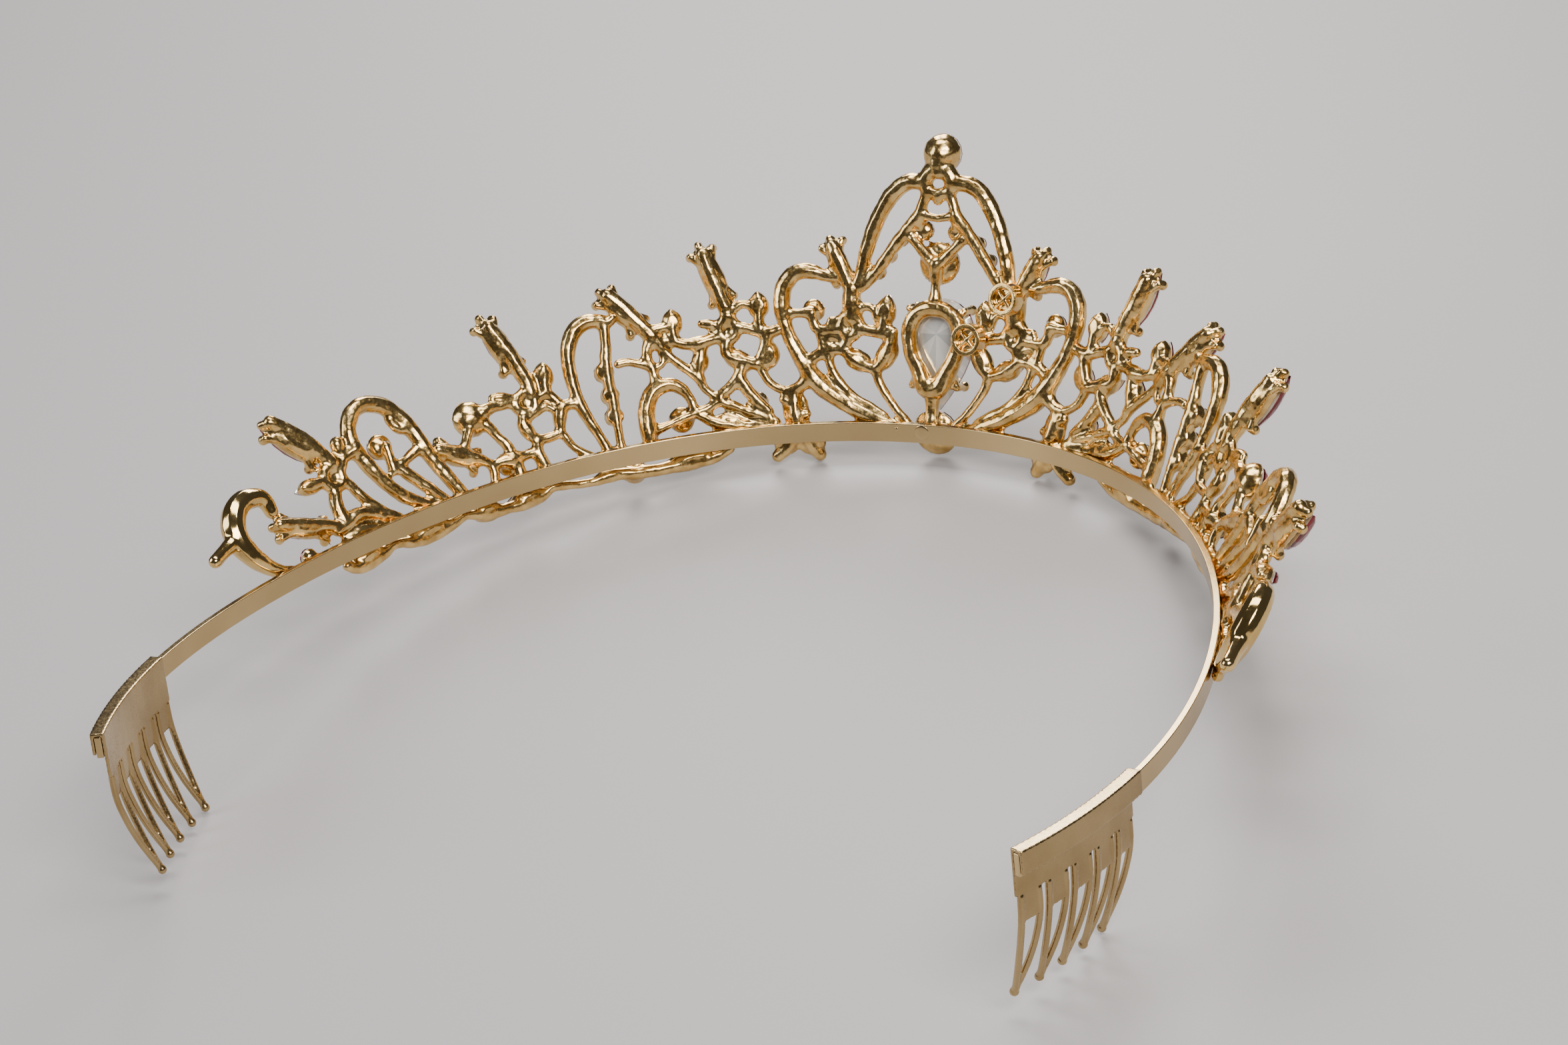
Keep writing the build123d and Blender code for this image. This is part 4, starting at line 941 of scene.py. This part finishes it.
# headband: a rectangular section with its long edges eased
strip = {"stations": 110, "ease": 0.14}
section = [(0, 0), (band["thick"], 0), (band["thick"], band["height"]), (0, band["height"])]
mesh = bandSweep(section, -band["halfLength"], band["halfLength"], strip["stations"], "headband")
piece = keepPiece("headband", mesh, [stripGold], ["headband_strip"], smooth=True)
ease = piece.modifiers.new("ease", "BEVEL")
ease.width = strip["ease"] * mm
ease.segments = 3
ease.limit_method = "ANGLE"
ease.angle_limit = radians(50)
ease.harden_normals = True

# solder: two low blobs where the castings meet the strip's inner face
solder = {"spots": [(0.9, 1.9, 1.25), (5.2, 2.2, 0.4)], "proud": 0.15}
bm = bmesh.new()
for s, h, r in solder["spots"]:
    origin = planPoint(phiAt(s)) + Vector((0, 0, h))
    place = seatMatrix(origin, alongBand(s), outwardAt(s))
    addEllipsoid(bm, place, Vector((0, 0, 0)), (r, r, solder["proud"]))
mesh = bpy.data.meshes.new("solderSpots")
bm.to_mesh(mesh)
bm.free()
keepPiece("solderSpots", mesh, [stripGold], ["solder_spots"])

# combs: a plate folded over the strip's end, and hairpin tines that curve in towards the head
# tineShape is (share of the tine's length, half the gap between its legs) from root to tip
comb = {"width": 25.5, "drop": 5.0, "sheet": 0.5, "gap": 0.05, "tines": 5, "length": 14.3, "bow": 4.4,
        "plateLow": -3.2, "flapLow": 0.4, "tab": (-7.0, -3.0), "tabHalf": 1.95,
        "tineShape": [(-0.12, 1.62), (0.12, 1.66), (0.35, 1.5), (0.6, 1.1), (0.8, 0.55), (0.92, 0.15)],
        "tipShares": (0.85, 0.93, 0.995), "wire": 0.50, "tipWire": 1.15, "tipBall": 0.68, "voxel": 0.145}
half = comb["sheet"] / 2
start = band["halfLength"] - comb["width"]
inside = -comb["gap"] - half
outside = band["thick"] + comb["gap"] + half
top = band["height"] + comb["gap"] + half
bm = bmesh.new()


def combStroke(bm, spots, radius):
    curve = bpy.data.curves.new("tine", "CURVE")
    curve.dimensions = "3D"
    curve.bevel_depth = mm
    curve.bevel_resolution = 3
    curve.resolution_u = 8
    curve.use_fill_caps = True
    spline = curve.splines.new("BEZIER")
    spline.bezier_points.add(len(spots) - 1)
    for point, (s, h, d) in zip(spline.bezier_points, spots):
        point.co = onBand(s, d, h)
        point.radius = radius
        point.handle_left_type = point.handle_right_type = "AUTO"
    holder = bpy.data.objects.new("tine", curve)
    bpy.context.scene.collection.objects.link(holder)
    mesh = evaluatedMesh(holder)
    bpy.data.objects.remove(holder)
    bm.from_mesh(mesh)
    bpy.data.meshes.remove(mesh)


def addSheet(bm, d0, d1, z0, z1, s0, s1, count=10):
    # a flat-sided strip of sheet between two offsets and two heights
    mesh = bandSweep([(d0, z0), (d1, z0), (d1, z1), (d0, z1)], s0, s1, count, "sheet")
    bm.from_mesh(mesh)
    bpy.data.meshes.remove(mesh)


def tinePoint(centre, share, spread=0.0):
    # a (s, height, offset) point of a tine, share of the way from its root to its tip
    h = -comb["drop"] - comb["length"] * share
    return centre + spread, h, inside - comb["bow"] * max(share, 0) ** 1.6


end = band["halfLength"]
addSheet(bm, inside - half, inside + half, comb["plateLow"], top + half, start, end)
addSheet(bm, inside - half, outside + half, top - half, top + half, start, end)
addSheet(bm, outside - half, outside + half, comb["flapLow"], top + half, start, end)
pitch = comb["width"] / comb["tines"]
for i in range(comb["tines"]):
    centre = start + pitch * (i + 0.5)
    tabEnds = (centre - comb["tabHalf"], centre + comb["tabHalf"])
    addSheet(bm, inside - half, inside + half, *comb["tab"], *tabEnds, 3)
    for side in (-1, 1):
        leg = [tinePoint(centre, share, side * spread) for share, spread in comb["tineShape"]]
        combStroke(bm, leg, comb["wire"])
    point = [tinePoint(centre, share) for share in comb["tipShares"]]
    combStroke(bm, point, comb["wire"] * comb["tipWire"])
    s, h, d = point[-1]
    tip = Matrix.Translation(onBand(s, d, h))
    bmesh.ops.create_icosphere(bm, subdivisions=3, radius=comb["tipBall"] * mm, matrix=tip)
mesh = castMesh("combLeft", bm, voxel=comb["voxel"], shrink=0.0, smoothing=6, lump=0.0, grain=0.0)
# the combs take the darker gold, which paints in the shade they sit in
keepPiece("combLeft", mesh, [combGoldPaintedShade], ["comb_left"])
keepPiece("combRight", mirroredMesh(mesh, "combRight"), [combGoldPaintedShade], ["comb_right"])
print("band and combs made")

# floor, lights and camera
studio = {"floorSize": 9.0, "floorAt": (0, -0.3, -0.0002), "floorTone": (0.37, 0.355, 0.36),
          "worldTone": (0.55, 0.56, 0.60), "worldPower": 0.13}
bm = bmesh.new()
bmesh.ops.create_grid(bm, x_segments=2, y_segments=2, size=studio["floorSize"] / 2)
mesh = bpy.data.meshes.new("studioFloor")
bm.to_mesh(mesh)
bm.free()
floor = bpy.data.objects.new("studioFloor", mesh)
bpy.context.scene.collection.objects.link(floor)
floor.location = studio["floorAt"]
floorMaterial = bpy.data.materials.new("paleFloor")
floorMaterial.use_nodes = True
floorShader = floorMaterial.node_tree.nodes["Principled BSDF"]
floorShader.inputs["Base Color"].default_value = (*studio["floorTone"], 1)
floorShader.inputs["Roughness"].default_value = 0.55
mesh.materials.append(floorMaterial)

world = bpy.data.worlds.new("studioWorld")
bpy.context.scene.world = world
world.use_nodes = True
world.node_tree.nodes["Background"].inputs["Color"].default_value = (*studio["worldTone"], 1)
world.node_tree.nodes["Background"].inputs["Strength"].default_value = studio["worldPower"]

lights = {
    "keyLight": {"at": (-0.45, 0.35, 0.60), "size": (0.45, 0.30), "power": 7.4, "tone": (1.0, 0.96, 0.90)},
    "fillLight": {"at": (0.55, 0.30, 0.40), "size": (0.30, 0.45), "power": 2.4, "tone": (0.92, 0.95, 1.0)},
    "topLight": {"at": (0.0, -0.15, 0.65), "size": (0.55, 0.25), "power": 4.4, "tone": (1.0, 0.98, 0.95)},
    "backLight": {"at": (0.25, -0.60, 0.35), "size": (0.35, 0.25), "power": 3.6, "tone": (1.0, 0.97, 0.93)},
}
target = Vector((0, -0.02, 0.02))
for name, light in lights.items():
    data = bpy.data.lights.new(name, "AREA")
    data.shape = "RECTANGLE"
    data.size, data.size_y = light["size"]
    data.energy = light["power"]
    data.color = light["tone"]
    lamp = bpy.data.objects.new(name, data)
    bpy.context.scene.collection.objects.link(lamp)
    lamp.location = light["at"]
    lamp.rotation_euler = (Vector(light["at"]) - target).to_track_quat("Z", "Y").to_euler()

# the camera stands behind the tiara and looks over the band at the back of the crest
view = {"place": (-245.6, 450.9, 227.1), "yaw": 0.481, "pitch": 0.391, "roll": -0.107, "lens": 89.2}
yaw, pitchDown, roll = view["yaw"], view["pitch"], view["roll"]
forward = Vector((sin(yaw) * cos(pitchDown), -cos(yaw) * cos(pitchDown), -sin(pitchDown)))
right = forward.cross(Vector((0, 0, 1))).normalized()
up = right.cross(forward)
right, up = cos(roll) * right + sin(roll) * up, cos(roll) * up - sin(roll) * right
axes = [turn @ right, turn @ up, turn @ -forward]
place = stand(Vector(view["place"]))
cameraData = bpy.data.cameras.new("rearCamera")
cameraData.sensor_width = 36.0
cameraData.lens = view["lens"]
cameraData.clip_start = 0.01
cameraData.clip_end = 20.0
camera = bpy.data.objects.new("rearCamera", cameraData)
bpy.context.scene.collection.objects.link(camera)
camera.matrix_world = Matrix([[axes[c][r] for c in range(3)] + [place[r]] for r in range(3)] + [[0, 0, 0, 1]])
bpy.context.scene.camera = camera
print("studio made")
